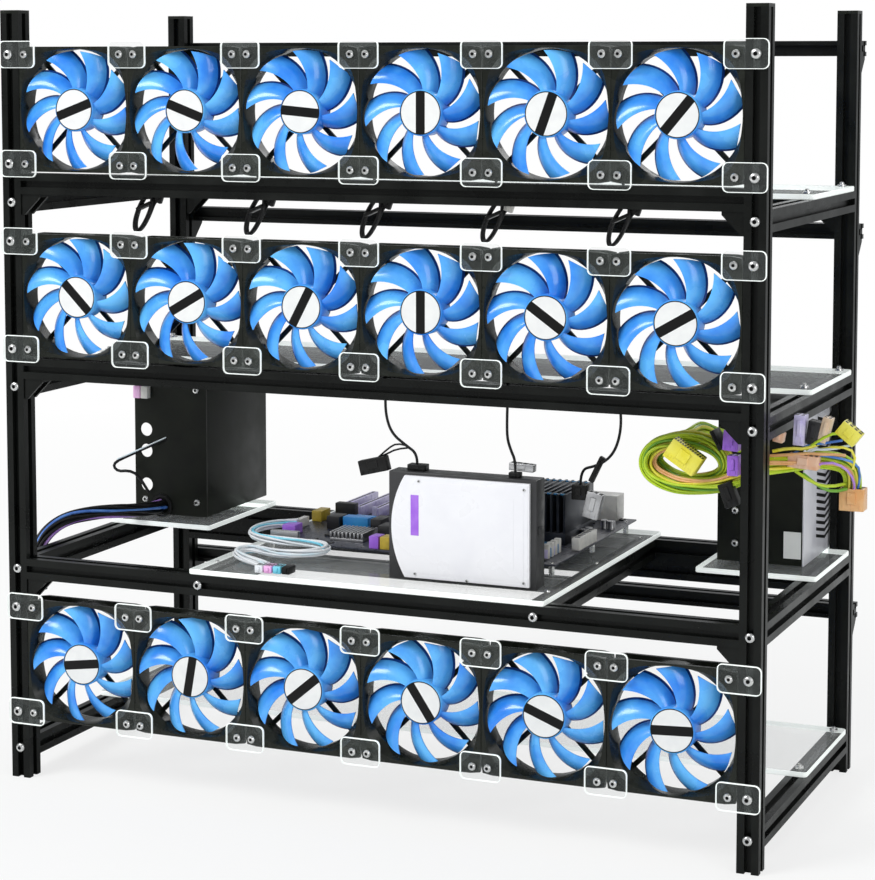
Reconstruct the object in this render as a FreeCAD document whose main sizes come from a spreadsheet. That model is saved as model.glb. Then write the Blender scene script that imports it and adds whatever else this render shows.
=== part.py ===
# Open mining rig frame: four slotted aluminium posts, three shelf levels and a
# board tray, eighteen 120 mm fans in three rows, two power supplies, a main
# board and a hard disk. Millimetres, X to the right, Y to the back, Z up.
# Sizes are taken from the posts' front faces; each finished sub-part is then moved
# back by half the whole depth, so that the origin is on the floor under the middle.
import FreeCAD, Part
import math
import os
import re
import Sketcher
from FreeCAD import Placement, Rotation, Vector

DOC = FreeCAD.newDocument("MiningRigFrame")
SHEET = DOC.addObject("Spreadsheet::Sheet", "Sizes")

SIZES = [
    ("frame_width", 760.0, "outside width over the posts"),
    ("frame_depth", 350.0, "outside depth over the posts"),
    ("post_height", 752.0, "length of each post"),
    ("cap_height", 3.0, "plastic cap on each post"),
    ("beam_side", 20.0, "side of the slotted square profile"),
    ("slot_mouth", 6.2, "width of a slot at the face"),
    ("slot_depth", 5.5, "depth of a slot"),
    ("tall_side", 40.0, "height of the double profile behind the tray"),
    ("level_top", 570.0, "centre height of the top side beams"),
    ("level_middle", 390.0, "centre height of the middle side beams"),
    ("level_tray", 210.0, "centre height of the tray side beams"),
    ("level_bottom", 30.0, "centre height of the bottom side beams"),
    ("front_rise", 18.0, "front beams sit this far over the side beams"),
    ("fan_side", 120.0, "side of a fan housing"),
    ("fan_depth", 25.0, "depth of a fan housing"),
    ("fan_bore", 115.0, "bore of a fan housing"),
    ("fan_count", 6.0, "fans in a row"),
    ("row_top", 660.0, "centre height of the top fan row"),
    ("row_middle", 480.0, "centre height of the middle fan row"),
    ("row_bottom", 120.0, "centre height of the bottom fan row"),
    ("motor_width", 40.0, "width over the motor base"),
    ("motor_thick", 3.0, "thickness of the motor base"),
    ("strut_width", 5.0, "width of a housing strut"),
    ("strut_thick", 3.0, "depth of a housing strut"),
    ("hub_width", 41.0, "width over the rotor hub"),
    ("hub_front", 1.0, "hub face behind the housing front"),
    ("motor_gap", 0.4, "running gap between hub and motor base"),
    ("tip_gap", 1.7, "running gap between blade tip and bore"),
    ("blade_thick", 2.2, "blade thickness along the axis"),
    ("blade_pitch", 22.0, "pitch of the blades in degrees"),
    ("plate_width", 40.0, "width of a link plate"),
    ("plate_height", 26.0, "height of a link plate"),
    ("plate_thick", 3.0, "thickness of a link plate"),
    ("plate_corner", 4.0, "corner chamfer of a link plate"),
    ("fan_hole_pitch", 105.0, "spacing of the fan screw holes"),
    ("bolt_width", 8.6, "width over a bolt head"),
    ("bolt_head", 2.6, "height of a bolt head"),
    ("bolt_shank", 4.8, "width over a bolt shank"),
    ("bolt_reach", 5.0, "length of a bolt shank in its slot"),
    ("shelf_thick", 5.0, "thickness of the clear shelves"),
    ("shelf_depth", 162.0, "depth of a clear shelf"),
    ("seat_gap", 0.3, "clearance beside a post"),
    ("tray_width", 360.0, "width of the board tray"),
    ("tray_depth", 350.0, "depth of the board tray"),
    ("rail_height", 15.0, "height of a rear card rail"),
    ("rail_rise", 148.5, "rail centre over its level"),
    ("rail_rise_bottom", 127.5, "lowest rail centre over the bottom level"),
    ("bracket_leg", 20.0, "leg of a corner bracket"),
    ("bracket_width", 17.0, "width of a corner bracket"),
    ("bracket_wall", 3.0, "wall of a corner bracket"),
    ("board_width", 305.0, "width of the main board"),
    ("board_depth", 244.0, "depth of the main board"),
    ("board_thick", 1.6, "thickness of the main board"),
    ("board_left", -150.0, "left edge of the main board"),
    ("board_front", 100.0, "front edge of the main board"),
    ("standoff_height", 10.0, "height of a board standoff"),
    ("standoff_width", 6.0, "width of a board standoff"),
    ("card_slot_pitch", 20.32, "spacing of the card slots"),
    ("card_slot_length", 90.0, "length of a card slot"),
    ("card_slot_width", 7.5, "width of a card slot"),
    ("card_slot_height", 11.0, "height of a card slot"),
    ("cooler_side", 84.0, "side of the processor cooler"),
    ("cooler_height", 50.0, "height of the processor cooler"),
    ("cooler_base", 12.0, "solid base of the cooler"),
    ("fin_thick", 2.4, "thickness of a cooler fin"),
    ("fin_pitch", 6.8, "spacing of the cooler fins"),
    ("disk_width", 147.0, "length of the hard disk, lying along X"),
    ("disk_height", 101.6, "width of the hard disk, standing"),
    ("disk_thick", 22.0, "thickness of the disk casting"),
    ("cover_thick", 4.0, "raised cover of the disk"),
    ("cover_margin", 4.0, "casting left bare at the cover's bowed end"),
    ("cover_lift", 3.0, "casting left bare under the cover"),
    ("cover_bow", 92.0, "radius of the cover's bowed end"),
    ("disk_left", 12.0, "left end of the disk"),
    ("disk_front", 34.0, "front of the disk cover"),
    ("supply_width", 86.0, "height of a power supply, lying along X"),
    ("supply_depth", 140.0, "depth of a power supply"),
    ("supply_height", 150.0, "width of a power supply, standing"),
    ("supply_front", 235.0, "front face of the supplies"),
    ("supply_edge", 2.0, "supply inside the post faces"),
    ("narrow_width", 62.0, "width of the left supply body"),
    ("left_plate_left", -372.0, "left edge of the left supply plate"),
    ("sheet_thick", 2.0, "sheet metal of the supply plates"),
    ("vent_reach", 20.0, "half the width of a chevron vent"),
    ("vent_rise", 16.0, "rise of a chevron vent over its point"),
    ("vent_width", 4.0, "width of a chevron vent"),
    ("vent_pitch", 18.0, "spacing of the chevron vents"),
    ("port_width", 14.5, "cable ports in the left supply plate"),
    ("port_drop", 60.0, "uppermost port under the plate's top edge"),
    ("port_pitch", 22.8, "spacing of the upper two ports"),
    ("port_inset", 13.5, "ports from the plate's left edge"),
    ("lead_width", 2.6, "diameter of a fan lead"),
    ("bundle_width", 13.0, "diameter of the supply bundle"),
    ("input_width", 12.0, "diameter of the left bundle"),
    ("hank_width", 28.0, "width of a tied fan lead hank"),
    ("hank_height", 66.0, "height of a tied fan lead hank"),
    ("hank_depth", 12.0, "depth of a tied fan lead hank"),
]


def fill_sheet():
    for row, (alias, value, meaning) in enumerate(SIZES, 1):
        SHEET.set("A%d" % row, meaning)
        SHEET.set("B%d" % row, str(value))
        SHEET.setAlias("B%d" % row, alias)
    DOC.recompute()


fill_sheet()
NAMES = [alias for alias, _, _ in SIZES]
WORD = re.compile(r"\b(" + "|".join(NAMES) + r")\b")


def size(alias):
    return float(SHEET.get(alias))


def formula(words):
    """The sheet's own form of an expression written with plain size names."""
    return WORD.sub(r"Sizes.\1", str(words))


def bind(item, **sizes):
    for name, words in sizes.items():
        item.setExpression(name, formula(words))
    return item


def put(item, x=0, y=0, z=0, axis=None, turn=0):
    """Place an object: its corner or centre from expressions, its turn in degrees."""
    if axis:
        item.Placement = Placement(Vector(0, 0, 0), Rotation(Vector(*axis), turn))
    for letter, words in (("x", x), ("y", y), ("z", z)):
        item.setExpression("Placement.Base." + letter, formula(words))
    return item


def block(name, x, y, z, length, depth, height):
    box = DOC.addObject("Part::Box", name)
    bind(box, Length=length, Width=depth, Height=height)
    return put(box, x, y, z)


def rod(name, width, length, x=0, y=0, z=0, axis=None, turn=0):
    cylinder = DOC.addObject("Part::Cylinder", name)
    bind(cylinder, Radius="(%s) / 2" % width, Height=length)
    return put(cylinder, x, y, z, axis, turn)


def many_sided(name, sides, width, length, x=0, y=0, z=0, axis=None, turn=0):
    prism = DOC.addObject("Part::Prism", name)
    prism.Polygon = sides
    bind(prism, Circumradius="(%s) / 2" % width, Height=length)
    return put(prism, x, y, z, axis, turn)


def cut(name, base, *tools):
    for number, tool in enumerate(tools, 1):
        result = DOC.addObject("Part::Cut", "%s_cut%d" % (name, number))
        result.Base = base
        result.Tool = tool
        base = result
    return base


def fuse(name, shapes):
    union = DOC.addObject("Part::MultiFuse", name)
    union.Shapes = shapes
    return union


def copy_of(master, name, x=0, y=0, z=0, axis=None, turn=0):
    link = DOC.addObject("App::Link", name)
    link.LinkedObject = master
    link.LinkTransform = False
    return put(link, x, y, z, axis, turn)


def outline(name, corners):
    """A closed sketch of straight sides; each corner is a pair of expressions."""
    sketch = DOC.addObject("Sketcher::SketchObject", name)
    probe = [point_value(corner) for corner in corners]
    count = len(corners)
    for number in range(count):
        start, end = probe[number], probe[(number + 1) % count]
        sketch.addGeometry(Part.LineSegment(Vector(*start, 0), Vector(*end, 0)), False)
    for number in range(count):
        sketch.addConstraint(Sketcher.Constraint("Coincident", number, 2, (number + 1) % count, 1))
    for number in range(count):
        for kind, value, words in zip(("DistanceX", "DistanceY"), probe[number], corners[number]):
            rule = sketch.addConstraint(Sketcher.Constraint(kind, -1, 1, number, 1, value))
            sketch.setExpression("Constraints[%d]" % rule, formula(words))
    return sketch


def point_value(corner):
    """First guess for a sketch corner, worked out by the sheet itself."""
    values = []
    for words in corner:
        SHEET.set("D1", "=" + str(words))
        SHEET.recompute()
        values.append(float(SHEET.get("D1")))
    return tuple(values)


def extruded(name, sketch, length, x=0, y=0, z=0, axis=None, turn=0, way=None):
    solid = DOC.addObject("Part::Extrusion", name)
    solid.Base = sketch
    solid.Solid = True
    if way:
        solid.DirMode = "Custom"
        solid.Dir = Vector(*way)
        solid.Symmetric = True
    else:
        solid.DirMode = "Normal"
    bind(solid, LengthFwd=length)
    return put(solid, x, y, z, axis, turn)


PIECES = []


ORIGIN_SHIFT = "(plate_thick + bolt_head - supply_front - supply_depth) / 2"


def piece(node, item):
    """Keep an object as one named sub-part, moved so that the origin is under the middle."""
    item.Label = node
    placed = dict(item.ExpressionEngine).get(".Placement.Base.y", "0")
    item.setExpression("Placement.Base.y", "(%s) + %s" % (placed, formula(ORIGIN_SHIFT)))
    PIECES.append(item)
    return item


def group(node, items):
    """Like pieces that share one sub-part, each still a solid of its own."""
    gathered = DOC.addObject("Part::Compound", node)
    gathered.Links = items
    return piece(node, gathered)


def slotted_corners(wide, tall, slots_up):
    """Corners of a slotted profile about its centre, anticlockwise."""
    half_mouth = "slot_mouth / 2"
    corners = [("-%s / 2" % wide, "-%s / 2" % tall)]
    corners += [("-%s" % half_mouth, "-%s / 2" % tall),
                ("-%s" % half_mouth, "-%s / 2 + slot_depth" % tall),
                (half_mouth, "-%s / 2 + slot_depth" % tall),
                (half_mouth, "-%s / 2" % tall)]
    corners.append(("%s / 2" % wide, "-%s / 2" % tall))
    for middle in slots_up:
        corners += [("%s / 2" % wide, "%s - %s" % (middle, half_mouth)),
                    ("%s / 2 - slot_depth" % wide, "%s - %s" % (middle, half_mouth)),
                    ("%s / 2 - slot_depth" % wide, "%s + %s" % (middle, half_mouth)),
                    ("%s / 2" % wide, "%s + %s" % (middle, half_mouth))]
    corners.append(("%s / 2" % wide, "%s / 2" % tall))
    corners += [(half_mouth, "%s / 2" % tall),
                (half_mouth, "%s / 2 - slot_depth" % tall),
                ("-%s" % half_mouth, "%s / 2 - slot_depth" % tall),
                ("-%s" % half_mouth, "%s / 2" % tall)]
    corners.append(("-%s / 2" % wide, "%s / 2" % tall))
    for middle in reversed(slots_up):
        corners += [("-%s / 2" % wide, "%s + %s" % (middle, half_mouth)),
                    ("-%s / 2 + slot_depth" % wide, "%s + %s" % (middle, half_mouth)),
                    ("-%s / 2 + slot_depth" % wide, "%s - %s" % (middle, half_mouth)),
                    ("-%s / 2" % wide, "%s - %s" % (middle, half_mouth))]
    return corners


SQUARE_PROFILE = outline("SquareProfile", slotted_corners("beam_side", "beam_side", ["0"]))
TALL_PROFILE = outline("TallProfile", slotted_corners(
    "beam_side", "tall_side", ["-beam_side / 2", "beam_side / 2"]))
RAIL_PROFILE = outline("RailProfile", slotted_corners("beam_side", "rail_height", ["0"]))

ALONG_Y = ((1, 0, 0), -90)
ALONG_X = ((1, 1, 1), 120)
TOWARDS_FRONT = ((1, 0, 0), 90)
INNER_HALF = "frame_width / 2 - beam_side"
POST_X = "(frame_width - beam_side) / 2"
REAR_Y = "frame_depth - beam_side"
SIDES = (("left", "-"), ("right", ""))


def build_posts():
    caps = []
    for side, sign in SIDES:
        for end, y in (("front", "beam_side / 2"), ("rear", "frame_depth - beam_side / 2")):
            post = extruded("Post_%s_%s" % (end, side), SQUARE_PROFILE, "post_height",
                            sign + POST_X, y, 0)
            piece("post_%s_%s" % (end, side), post)
            caps.append(block("Cap_%s_%s" % (end, side),
                              "%s%s - beam_side / 2" % (sign, POST_X), "%s - beam_side / 2" % y,
                              "post_height", "beam_side", "beam_side", "cap_height"))
    group("post_caps", caps)


def beam_across(name, sketch, y, z):
    """A beam along X between the posts' inner faces; its centre is at y, z."""
    return extruded(name, sketch, "frame_width - 2 * beam_side", "-(%s)" % INNER_HALF, y, z, *ALONG_X)


def build_beams():
    front = [beam_across("FrontBeam_top", SQUARE_PROFILE, "beam_side / 2", "level_top + front_rise"),
             beam_across("FrontBeam_middle", SQUARE_PROFILE, "beam_side / 2", "level_middle + front_rise"),
             beam_across("FrontBeam_tray", SQUARE_PROFILE, "beam_side / 2", "level_tray")]
    group("front_beams", front)
    rear_middle = "frame_depth - beam_side / 2"
    rear = [beam_across("RearBeam_top", SQUARE_PROFILE, rear_middle, "level_top"),
            beam_across("RearBeam_middle", SQUARE_PROFILE, rear_middle, "level_middle"),
            beam_across("RearBeam_tray", TALL_PROFILE, rear_middle,
                        "level_tray + beam_side / 2 - tall_side / 2")]
    group("rear_beams", rear)
    side_beams = []
    for level in ("top", "middle", "tray", "bottom"):
        for side, sign in SIDES:
            side_beams.append(extruded("SideBeam_%s_%s" % (level, side), SQUARE_PROFILE,
                                       "frame_depth - 2 * beam_side", sign + POST_X, "beam_side",
                                       "level_" + level, *ALONG_Y))
    group("side_beams", side_beams)
    tray_beams = []
    for side, sign in SIDES:
        tray_beams.append(extruded("TrayBeam_" + side, SQUARE_PROFILE, "frame_depth - 2 * beam_side",
                                   "%s(tray_width - beam_side) / 2" % sign, "beam_side",
                                   "level_tray", *ALONG_Y))
    group("tray_beams", tray_beams)


RAIL_LEVELS = (("top", "level_top + rail_rise"), ("middle", "level_middle + rail_rise"),
               ("bottom", "level_bottom + rail_rise_bottom"))


def build_rails():
    rails = []
    for level, z in RAIL_LEVELS:
        rails.append(extruded("Rail_" + level, RAIL_PROFILE, "frame_width", "-frame_width / 2",
                              "frame_depth + beam_side / 2", z, *ALONG_X))
    group("gpu_rails", rails)


def build_brackets():
    """Cast angle brackets: under the beams between the posts, and under the rails' ends."""
    side_view = outline("BracketSide", [("0", "0"), ("bracket_leg", "0"),
                                        ("bracket_leg", "bracket_wall"),
                                        ("bracket_wall", "bracket_leg"), ("0", "bracket_leg")])
    solid = extruded("BracketBlock", side_view, "bracket_width")
    hollow = block("BracketHollow", "bracket_wall", "bracket_wall", "bracket_wall",
                   "bracket_leg", "bracket_leg", "bracket_width - 2 * bracket_wall")
    master = cut("Bracket", solid, hollow)
    across = "(beam_side + bracket_width) / 2"
    under_left, under_right = ((1, 1, -1), 120), ((0, 1, -1), 180)
    places = [("front_top", "0", "level_top + front_rise - beam_side / 2"),
              ("front_middle", "0", "level_middle + front_rise - beam_side / 2"),
              ("front_tray", "0", "level_tray - beam_side / 2"),
              ("rear_top", REAR_Y, "level_top - beam_side / 2")]
    brackets = []
    for side, sign in SIDES:
        turned = under_left if side == "left" else under_right
        for place, y, z in places:
            brackets.append(copy_of(master, "Bracket_%s_%s" % (place, side),
                                    "%s(%s)" % (sign, INNER_HALF), "%s + %s" % (y, across), z, *turned))
        for level, z in RAIL_LEVELS:
            brackets.append(copy_of(master, "Bracket_rail_%s_%s" % (level, side),
                                    "%s%s - bracket_width / 2" % (sign, POST_X), "frame_depth",
                                    "%s - rail_height / 2" % z, (0, 1, 0), 90))
    group("corner_brackets", brackets)


def build_shelves():
    shelves = []
    for level in ("top", "middle", "bottom"):
        shelves.append(block("Shelf_" + level, "-frame_width / 2",
                             REAR_Y + " - seat_gap - shelf_depth", "level_%s + beam_side / 2" % level,
                             "frame_width", "shelf_depth", "shelf_thick"))
    top = "level_tray + beam_side / 2"
    piece("board_tray", block("BoardTray", "-tray_width / 2", "0", top,
                              "tray_width", "tray_depth", "shelf_thick"))
    width = "supply_width + beam_side + 12"
    for side, sign in SIDES:
        left = "-frame_width / 2" if side == "left" else "frame_width / 2 - (%s)" % width
        plate = block("SupplyPlate_" + side, left, "supply_front - 40", top,
                      width, "frame_depth - supply_front + 40", "shelf_thick")
        notch_left = "-frame_width / 2" if side == "left" else "frame_width / 2 - beam_side - seat_gap"
        notch = block("SupplyNotch_" + side, notch_left, REAR_Y + " - seat_gap", top,
                      "beam_side + seat_gap", "beam_side + 2 * seat_gap", "shelf_thick")
        shelves.append(cut("SupplyShelf_" + side, plate, notch))
    group("clear_shelves", shelves)


def fan_x(number):
    return "(%d - (fan_count + 1) / 2) * fan_side" % number


def fan_master():
    """Housing about the fan's axis, front face at Y 0."""
    square = block("HousingBlock", "-fan_side / 2", "0", "-fan_side / 2",
                   "fan_side", "fan_depth", "fan_side")
    bore = many_sided("HousingBore", 32, "fan_bore", "fan_depth + 2", 0, "-1", 0, *ALONG_Y)
    shell = cut("HousingShell", square, bore)
    base = many_sided("MotorBase", 16, "motor_width", "motor_thick", 0,
                      "fan_depth - motor_thick", 0, *ALONG_Y)
    struts = []
    for turn in (45, 135, 225, 315):
        strut = block("Strut_%d" % turn, 0, 0, 0, "fan_bore / 2 + 1", "strut_thick", "strut_width")
        strut.Placement = Placement(Vector(0, 0, 0), Rotation(Vector(0, 1, 0), turn))
        half = "strut_width / 2"
        put(strut, "-(%s) * sin(%d)" % (half, turn), "fan_depth - strut_thick", "-(%s) * cos(%d)" % (half, turn))
        struts.append(strut)
    return fuse("FanHousing", [shell, base] + struts)


BLADES = 9
# Blade outline seen from the front: share of the way from hub to tip, and the
# angles in degrees of the leading and the trailing edge there.
BLADE_EDGES = ((0.0, 0.0, 25.0), (0.5, 8.0, 40.0), (1.0, 27.0, 62.0))
# The angle at which a blade stands midway along the hub; it keeps the blade inside the hub's depth.
BLADE_MIDDLE = 42.0


def rotor_master():
    """Rotor about the fan's axis: a hub and nine swept, pitched blades in one moulding."""
    depth = "fan_depth - motor_thick - motor_gap - hub_front"
    hub = many_sided("Hub", 2 * BLADES, "hub_width", depth, 0, "hub_front", 0, *ALONG_Y)
    root = "(hub_width / 2 - 1)"
    tip = "(fan_bore / 2 - tip_gap)"
    corners = []
    rising = [(share, lead) for share, lead, _ in BLADE_EDGES]
    falling = [(share, trail) for share, _, trail in reversed(BLADE_EDGES)]
    for share, angle in rising + falling:
        radius = "(%s + (%s - %s) * %s)" % (root, tip, root, share)
        offset = angle - BLADE_MIDDLE
        corners.append(("%s * cos(%s)" % (radius, offset),
                        "%s * sin(%s) / cos(blade_pitch)" % (radius, offset)))
    sketch = outline("BladeOutline", corners)
    blades = []
    for number in range(BLADES):
        sketch_turn = Rotation(Vector(0, 1, 0), -number * 360.0 / BLADES)
        plane = Rotation(Vector(1, 0, 0), 90)
        pitch = Rotation(Vector(1, 0, 0), -size("blade_pitch"))
        blade = extruded("Blade_%d" % number, sketch, "blade_thick", 0,
                         "hub_front + (%s) / 2" % depth, 0)
        blade.DirMode = "Custom"
        blade.Symmetric = True
        blade.Dir = (plane * pitch).inverted().multVec(Vector(0, 1, 0))
        blade.Placement = Placement(Vector(0, 0, 0), sketch_turn * plane * pitch)
        blades.append(blade)
    return fuse("FanRotor", [hub] + blades)


ROWS = ("top", "middle", "bottom")


def build_fans():
    housing = fan_master()
    rotor = rotor_master()
    for row in ROWS:
        housings = []
        for number in range(1, int(size("fan_count")) + 1):
            housings.append(copy_of(housing, "Housing_%s_%d" % (row, number), fan_x(number), 0, "row_" + row))
        group("fan_frames_" + row, housings)
    for row in ROWS:
        for number in range(1, int(size("fan_count")) + 1):
            spun = copy_of(rotor, "Rotor_%s_%d" % (row, number), fan_x(number), 0, "row_" + row)
            holder = DOC.addObject("Part::Compound", "RotorPiece_%s_%d" % (row, number))
            holder.Links = [spun]
            piece("fan_rotor_%s_%d" % (row, number), holder)


def build_link_plates():
    """Clear plates that tie each fan to the next and the end fans to the posts."""
    c, w, t = "plate_corner", "plate_width / 2", "plate_height / 2"
    corners = [("-%s + %s" % (w, c), "-%s" % t), ("%s - %s" % (w, c), "-%s" % t),
               (w, "-%s + %s" % (t, c)), (w, "%s - %s" % (t, c)),
               ("%s - %s" % (w, c), t), ("-%s + %s" % (w, c), t),
               ("-%s" % w, "%s - %s" % (t, c)), ("-%s" % w, "-%s + %s" % (t, c))]
    master = extruded("LinkPlate", outline("LinkPlateOutline", corners), "plate_thick")
    end_x = "(%s + (fan_count - 1) / 2 * fan_side + fan_hole_pitch / 2) / 2" % POST_X
    places = [("%d" % number, "(%d - fan_count / 2) * fan_side" % number)
              for number in range(1, int(size("fan_count")))]
    places += [("left", "-(%s)" % end_x), ("right", end_x)]
    plates = []
    for row in ROWS:
        for edge, sign in (("upper", "+"), ("lower", "-")):
            for word, x in places:
                plates.append(copy_of(master, "Link_%s_%s_%s" % (row, edge, word), x, 0,
                                      "row_%s %s fan_hole_pitch / 2" % (row, sign), *TOWARDS_FRONT))
    group("link_plates", plates)


def build_bolts():
    """Button-head bolts in the posts' slots: at every side beam and every end plate."""
    head = many_sided("BoltHead", 6, "bolt_width", "bolt_head", 0, 0, 0, *TOWARDS_FRONT)
    shank = many_sided("BoltShank", 6, "bolt_shank", "bolt_reach + 0.1", 0, "bolt_reach", 0, *TOWARDS_FRONT)
    master = fuse("Bolt", [head, shank])
    plate_bolt = many_sided("PlateBolt", 6, "bolt_width", "bolt_head", 0, 0, 0, *TOWARDS_FRONT)
    bolts = []
    for side, sign in SIDES:
        for level in ("top", "middle", "tray", "bottom"):
            z = "level_" + level
            bolts.append(copy_of(master, "Bolt_front_%s_%s" % (level, side), sign + POST_X, 0, z))
            bolts.append(copy_of(master, "Bolt_rear_%s_%s" % (level, side), sign + POST_X,
                                 "frame_depth", z, (0, 0, 1), 180))
        for row in ROWS:
            for edge, way in (("upper", "+"), ("lower", "-")):
                bolts.append(copy_of(plate_bolt, "Bolt_plate_%s_%s_%s" % (row, edge, side), sign + POST_X,
                                     "-plate_thick", "row_%s %s fan_hole_pitch / 2" % (row, way),
                                     *TOWARDS_FRONT))
        bolts.append(copy_of(master, "Bolt_tray_" + side, "%s(tray_width - beam_side) / 2" % sign,
                             0, "level_tray"))
    group("frame_bolts", bolts)


TRAY_TOP = "level_tray + beam_side / 2 + shelf_thick"
BOARD_TOP = TRAY_TOP + " + standoff_height + board_thick"


def build_board():
    piece("main_board", block("MainBoard", "board_left", "board_front", TRAY_TOP + " + standoff_height",
                              "board_width", "board_depth", "board_thick"))
    standoffs = []
    for across in (0.02, 0.5, 0.98):
        for back in (0.025, 0.5, 0.93):
            standoffs.append(many_sided("Standoff_%d_%d" % (across * 100, back * 100), 6, "standoff_width",
                                        "standoff_height", "board_left + %s * board_width" % across,
                                        "board_front + %s * board_depth" % back, TRAY_TOP))
    group("board_standoffs", standoffs)
    slots = []
    for number in range(6):
        slots.append(block("CardSlot_%d" % number, "board_left + 12 + %d * card_slot_pitch" % number,
                           "board_front + board_depth - 12 - card_slot_length", BOARD_TOP,
                           "card_slot_width", "card_slot_length", "card_slot_height"))
    for number in range(4):
        slots.append(block("MemorySlot_%d" % number, "board_left + board_width - 150",
                           "board_front + 22 + %d * 10" % number, BOARD_TOP, "134", "6.5", "9"))
    group("board_slots", slots)
    sockets = [
        block("PortBlock", "board_left + board_width - 145", "board_front + board_depth - 18", BOARD_TOP,
              "130", "22", "28"),
        block("PowerSocket", "board_left + board_width - 9", "board_front + 70", BOARD_TOP, "8", "52", "12"),
        block("ChipHeatsink", "board_left + 60", "board_front + 24", BOARD_TOP, "36", "36", "9"),
        block("DriveSockets", "board_left + 112", "board_front + 3", BOARD_TOP, "34", "16", "12"),
        block("AudioBlock", "board_left + 1", "board_front + 60", BOARD_TOP, "6", "28", "9"),
        block("PanelHeader", "board_left + 3", "board_front + 8", BOARD_TOP, "30", "6", "9"),
    ]
    group("board_sockets", sockets)


def build_cooler():
    left = "board_left + board_width - 22 - cooler_side"
    front = "board_front + 88"
    base = block("CoolerBase", left, front, BOARD_TOP, "cooler_side", "cooler_side", "cooler_base")
    fins = []
    count = int((size("cooler_side") - size("fin_thick")) / size("fin_pitch")) + 1
    for number in range(count):
        fins.append(block("Fin_%d" % number, "%s + %d * fin_pitch" % (left, number), front,
                          BOARD_TOP + " + cooler_base - 1", "fin_thick", "cooler_side",
                          "cooler_height - cooler_base + 1"))
    piece("board_cooler", fuse("Cooler", [base] + fins))


def build_disk():
    """Hard disk on its long edge: a casting and a raised cover with one bowed end."""
    piece("disk_body", block("DiskBody", "disk_left", "disk_front + cover_thick", TRAY_TOP,
                             "disk_width", "disk_thick", "disk_height"))
    left = "disk_left + cover_margin"
    bottom, height = TRAY_TOP + " + cover_lift", "(disk_height - 2 * cover_lift)"
    slab = block("CoverSlab", left, "disk_front", bottom,
                 "disk_width - 2.5 * cover_margin", "cover_thick", height)
    bow = rod("CoverBow", "2 * cover_bow", "3 * cover_thick", left + " + cover_bow",
              "disk_front - cover_thick", "%s + %s / 2" % (bottom, height), *ALONG_Y)
    cover = DOC.addObject("Part::Common", "BowedCover")
    cover.Base = slab
    cover.Tool = bow
    piece("disk_cover", cover)


def build_supplies():
    right_edge = "(%s - supply_edge)" % INNER_HALF
    right = block("RightSupply", right_edge + " - supply_width", "supply_front", TRAY_TOP,
                  "supply_width - sheet_thick", "supply_depth", "supply_height")
    piece("right_supply", right)
    panel = block("RightPanel", right_edge + " - sheet_thick", "supply_front", TRAY_TOP,
                  "sheet_thick", "supply_depth", "supply_height")
    chevron = outline("Chevron", [("0", "0"), ("vent_reach", "vent_rise"),
                                  ("vent_reach", "vent_rise + vent_width"), ("0", "vent_width"),
                                  ("-vent_reach", "vent_rise + vent_width"), ("-vent_reach", "vent_rise")])
    vents = []
    for number in range(6):
        vents.append(extruded("Vent_%d" % number, chevron, "3 * sheet_thick",
                              right_edge + " - 2 * sheet_thick", "supply_front + supply_depth / 2",
                              TRAY_TOP + " + 22 + %d * vent_pitch" % number, *ALONG_X))
    piece("right_supply_panel", cut("RightVents", panel, *vents))

    left_edge = "left_plate_left + supply_width"
    piece("left_supply", block("LeftSupply", left_edge + " - narrow_width", "supply_front + sheet_thick",
                               TRAY_TOP, "narrow_width", "supply_depth - sheet_thick", "supply_height"))
    plate = block("LeftPlate", "left_plate_left", "supply_front", TRAY_TOP,
                  "supply_width", "sheet_thick", "supply_height")
    holes = []
    for number, share in enumerate((0, 1, 2.6), 1):
        holes.append(many_sided("Port_%d" % number, 20, "port_width", "3 * sheet_thick",
                         "left_plate_left + port_inset", "supply_front - sheet_thick",
                         TRAY_TOP + " + supply_height - port_drop - %s * port_pitch" % share, *ALONG_Y))
    piece("left_supply_plate", cut("LeftPlateWithPorts", plate, *holes))


def run_path(points):
    """Straight runs joined by tangent arcs, each as large as its two runs allow."""
    corners = [Vector(*point) for point in points]
    edges = []
    radii = []
    start = corners[0]
    for before, corner, after in zip(corners, corners[1:], corners[2:]):
        inward = (before - corner).normalize()
        outward = (after - corner).normalize()
        turn = math.pi - inward.getAngle(outward)
        shorter = min((before - corner).Length, (after - corner).Length)
        setback = 0.45 * shorter
        radius = setback / math.tan(turn / 2)
        centre_way = (inward + outward).normalize()
        middle = corner + centre_way * (radius / math.cos(turn / 2) - radius)
        enter = corner + inward * setback
        leave = corner + outward * setback
        edges.append(Part.LineSegment(start, enter).toShape())
        edges.append(Part.Arc(enter, middle, leave).toShape())
        radii.append(radius)
        start = leave
    edges.append(Part.LineSegment(start, corners[-1]).toShape())
    return Part.Wire(edges), radii


def tube(node, points, width):
    """A cord as a plain round tube along its route."""
    path, radii = run_path(points)
    first = Vector(*points[0])
    heading = Vector(*points[1]) - first
    ring = Part.Wire(Part.Circle(first, heading, width / 2).toShape())
    solid = path.makePipeShell([ring], True, False)
    expected = math.pi * width * width / 4 * path.Length
    print("%s length %.0f tightest arc %.1f volume ratio %.4f"
          % (node, path.Length, min(radii), solid.Volume / expected))
    item = DOC.addObject("Part::Feature", node)
    item.Shape = solid
    return piece(node, item)


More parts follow.
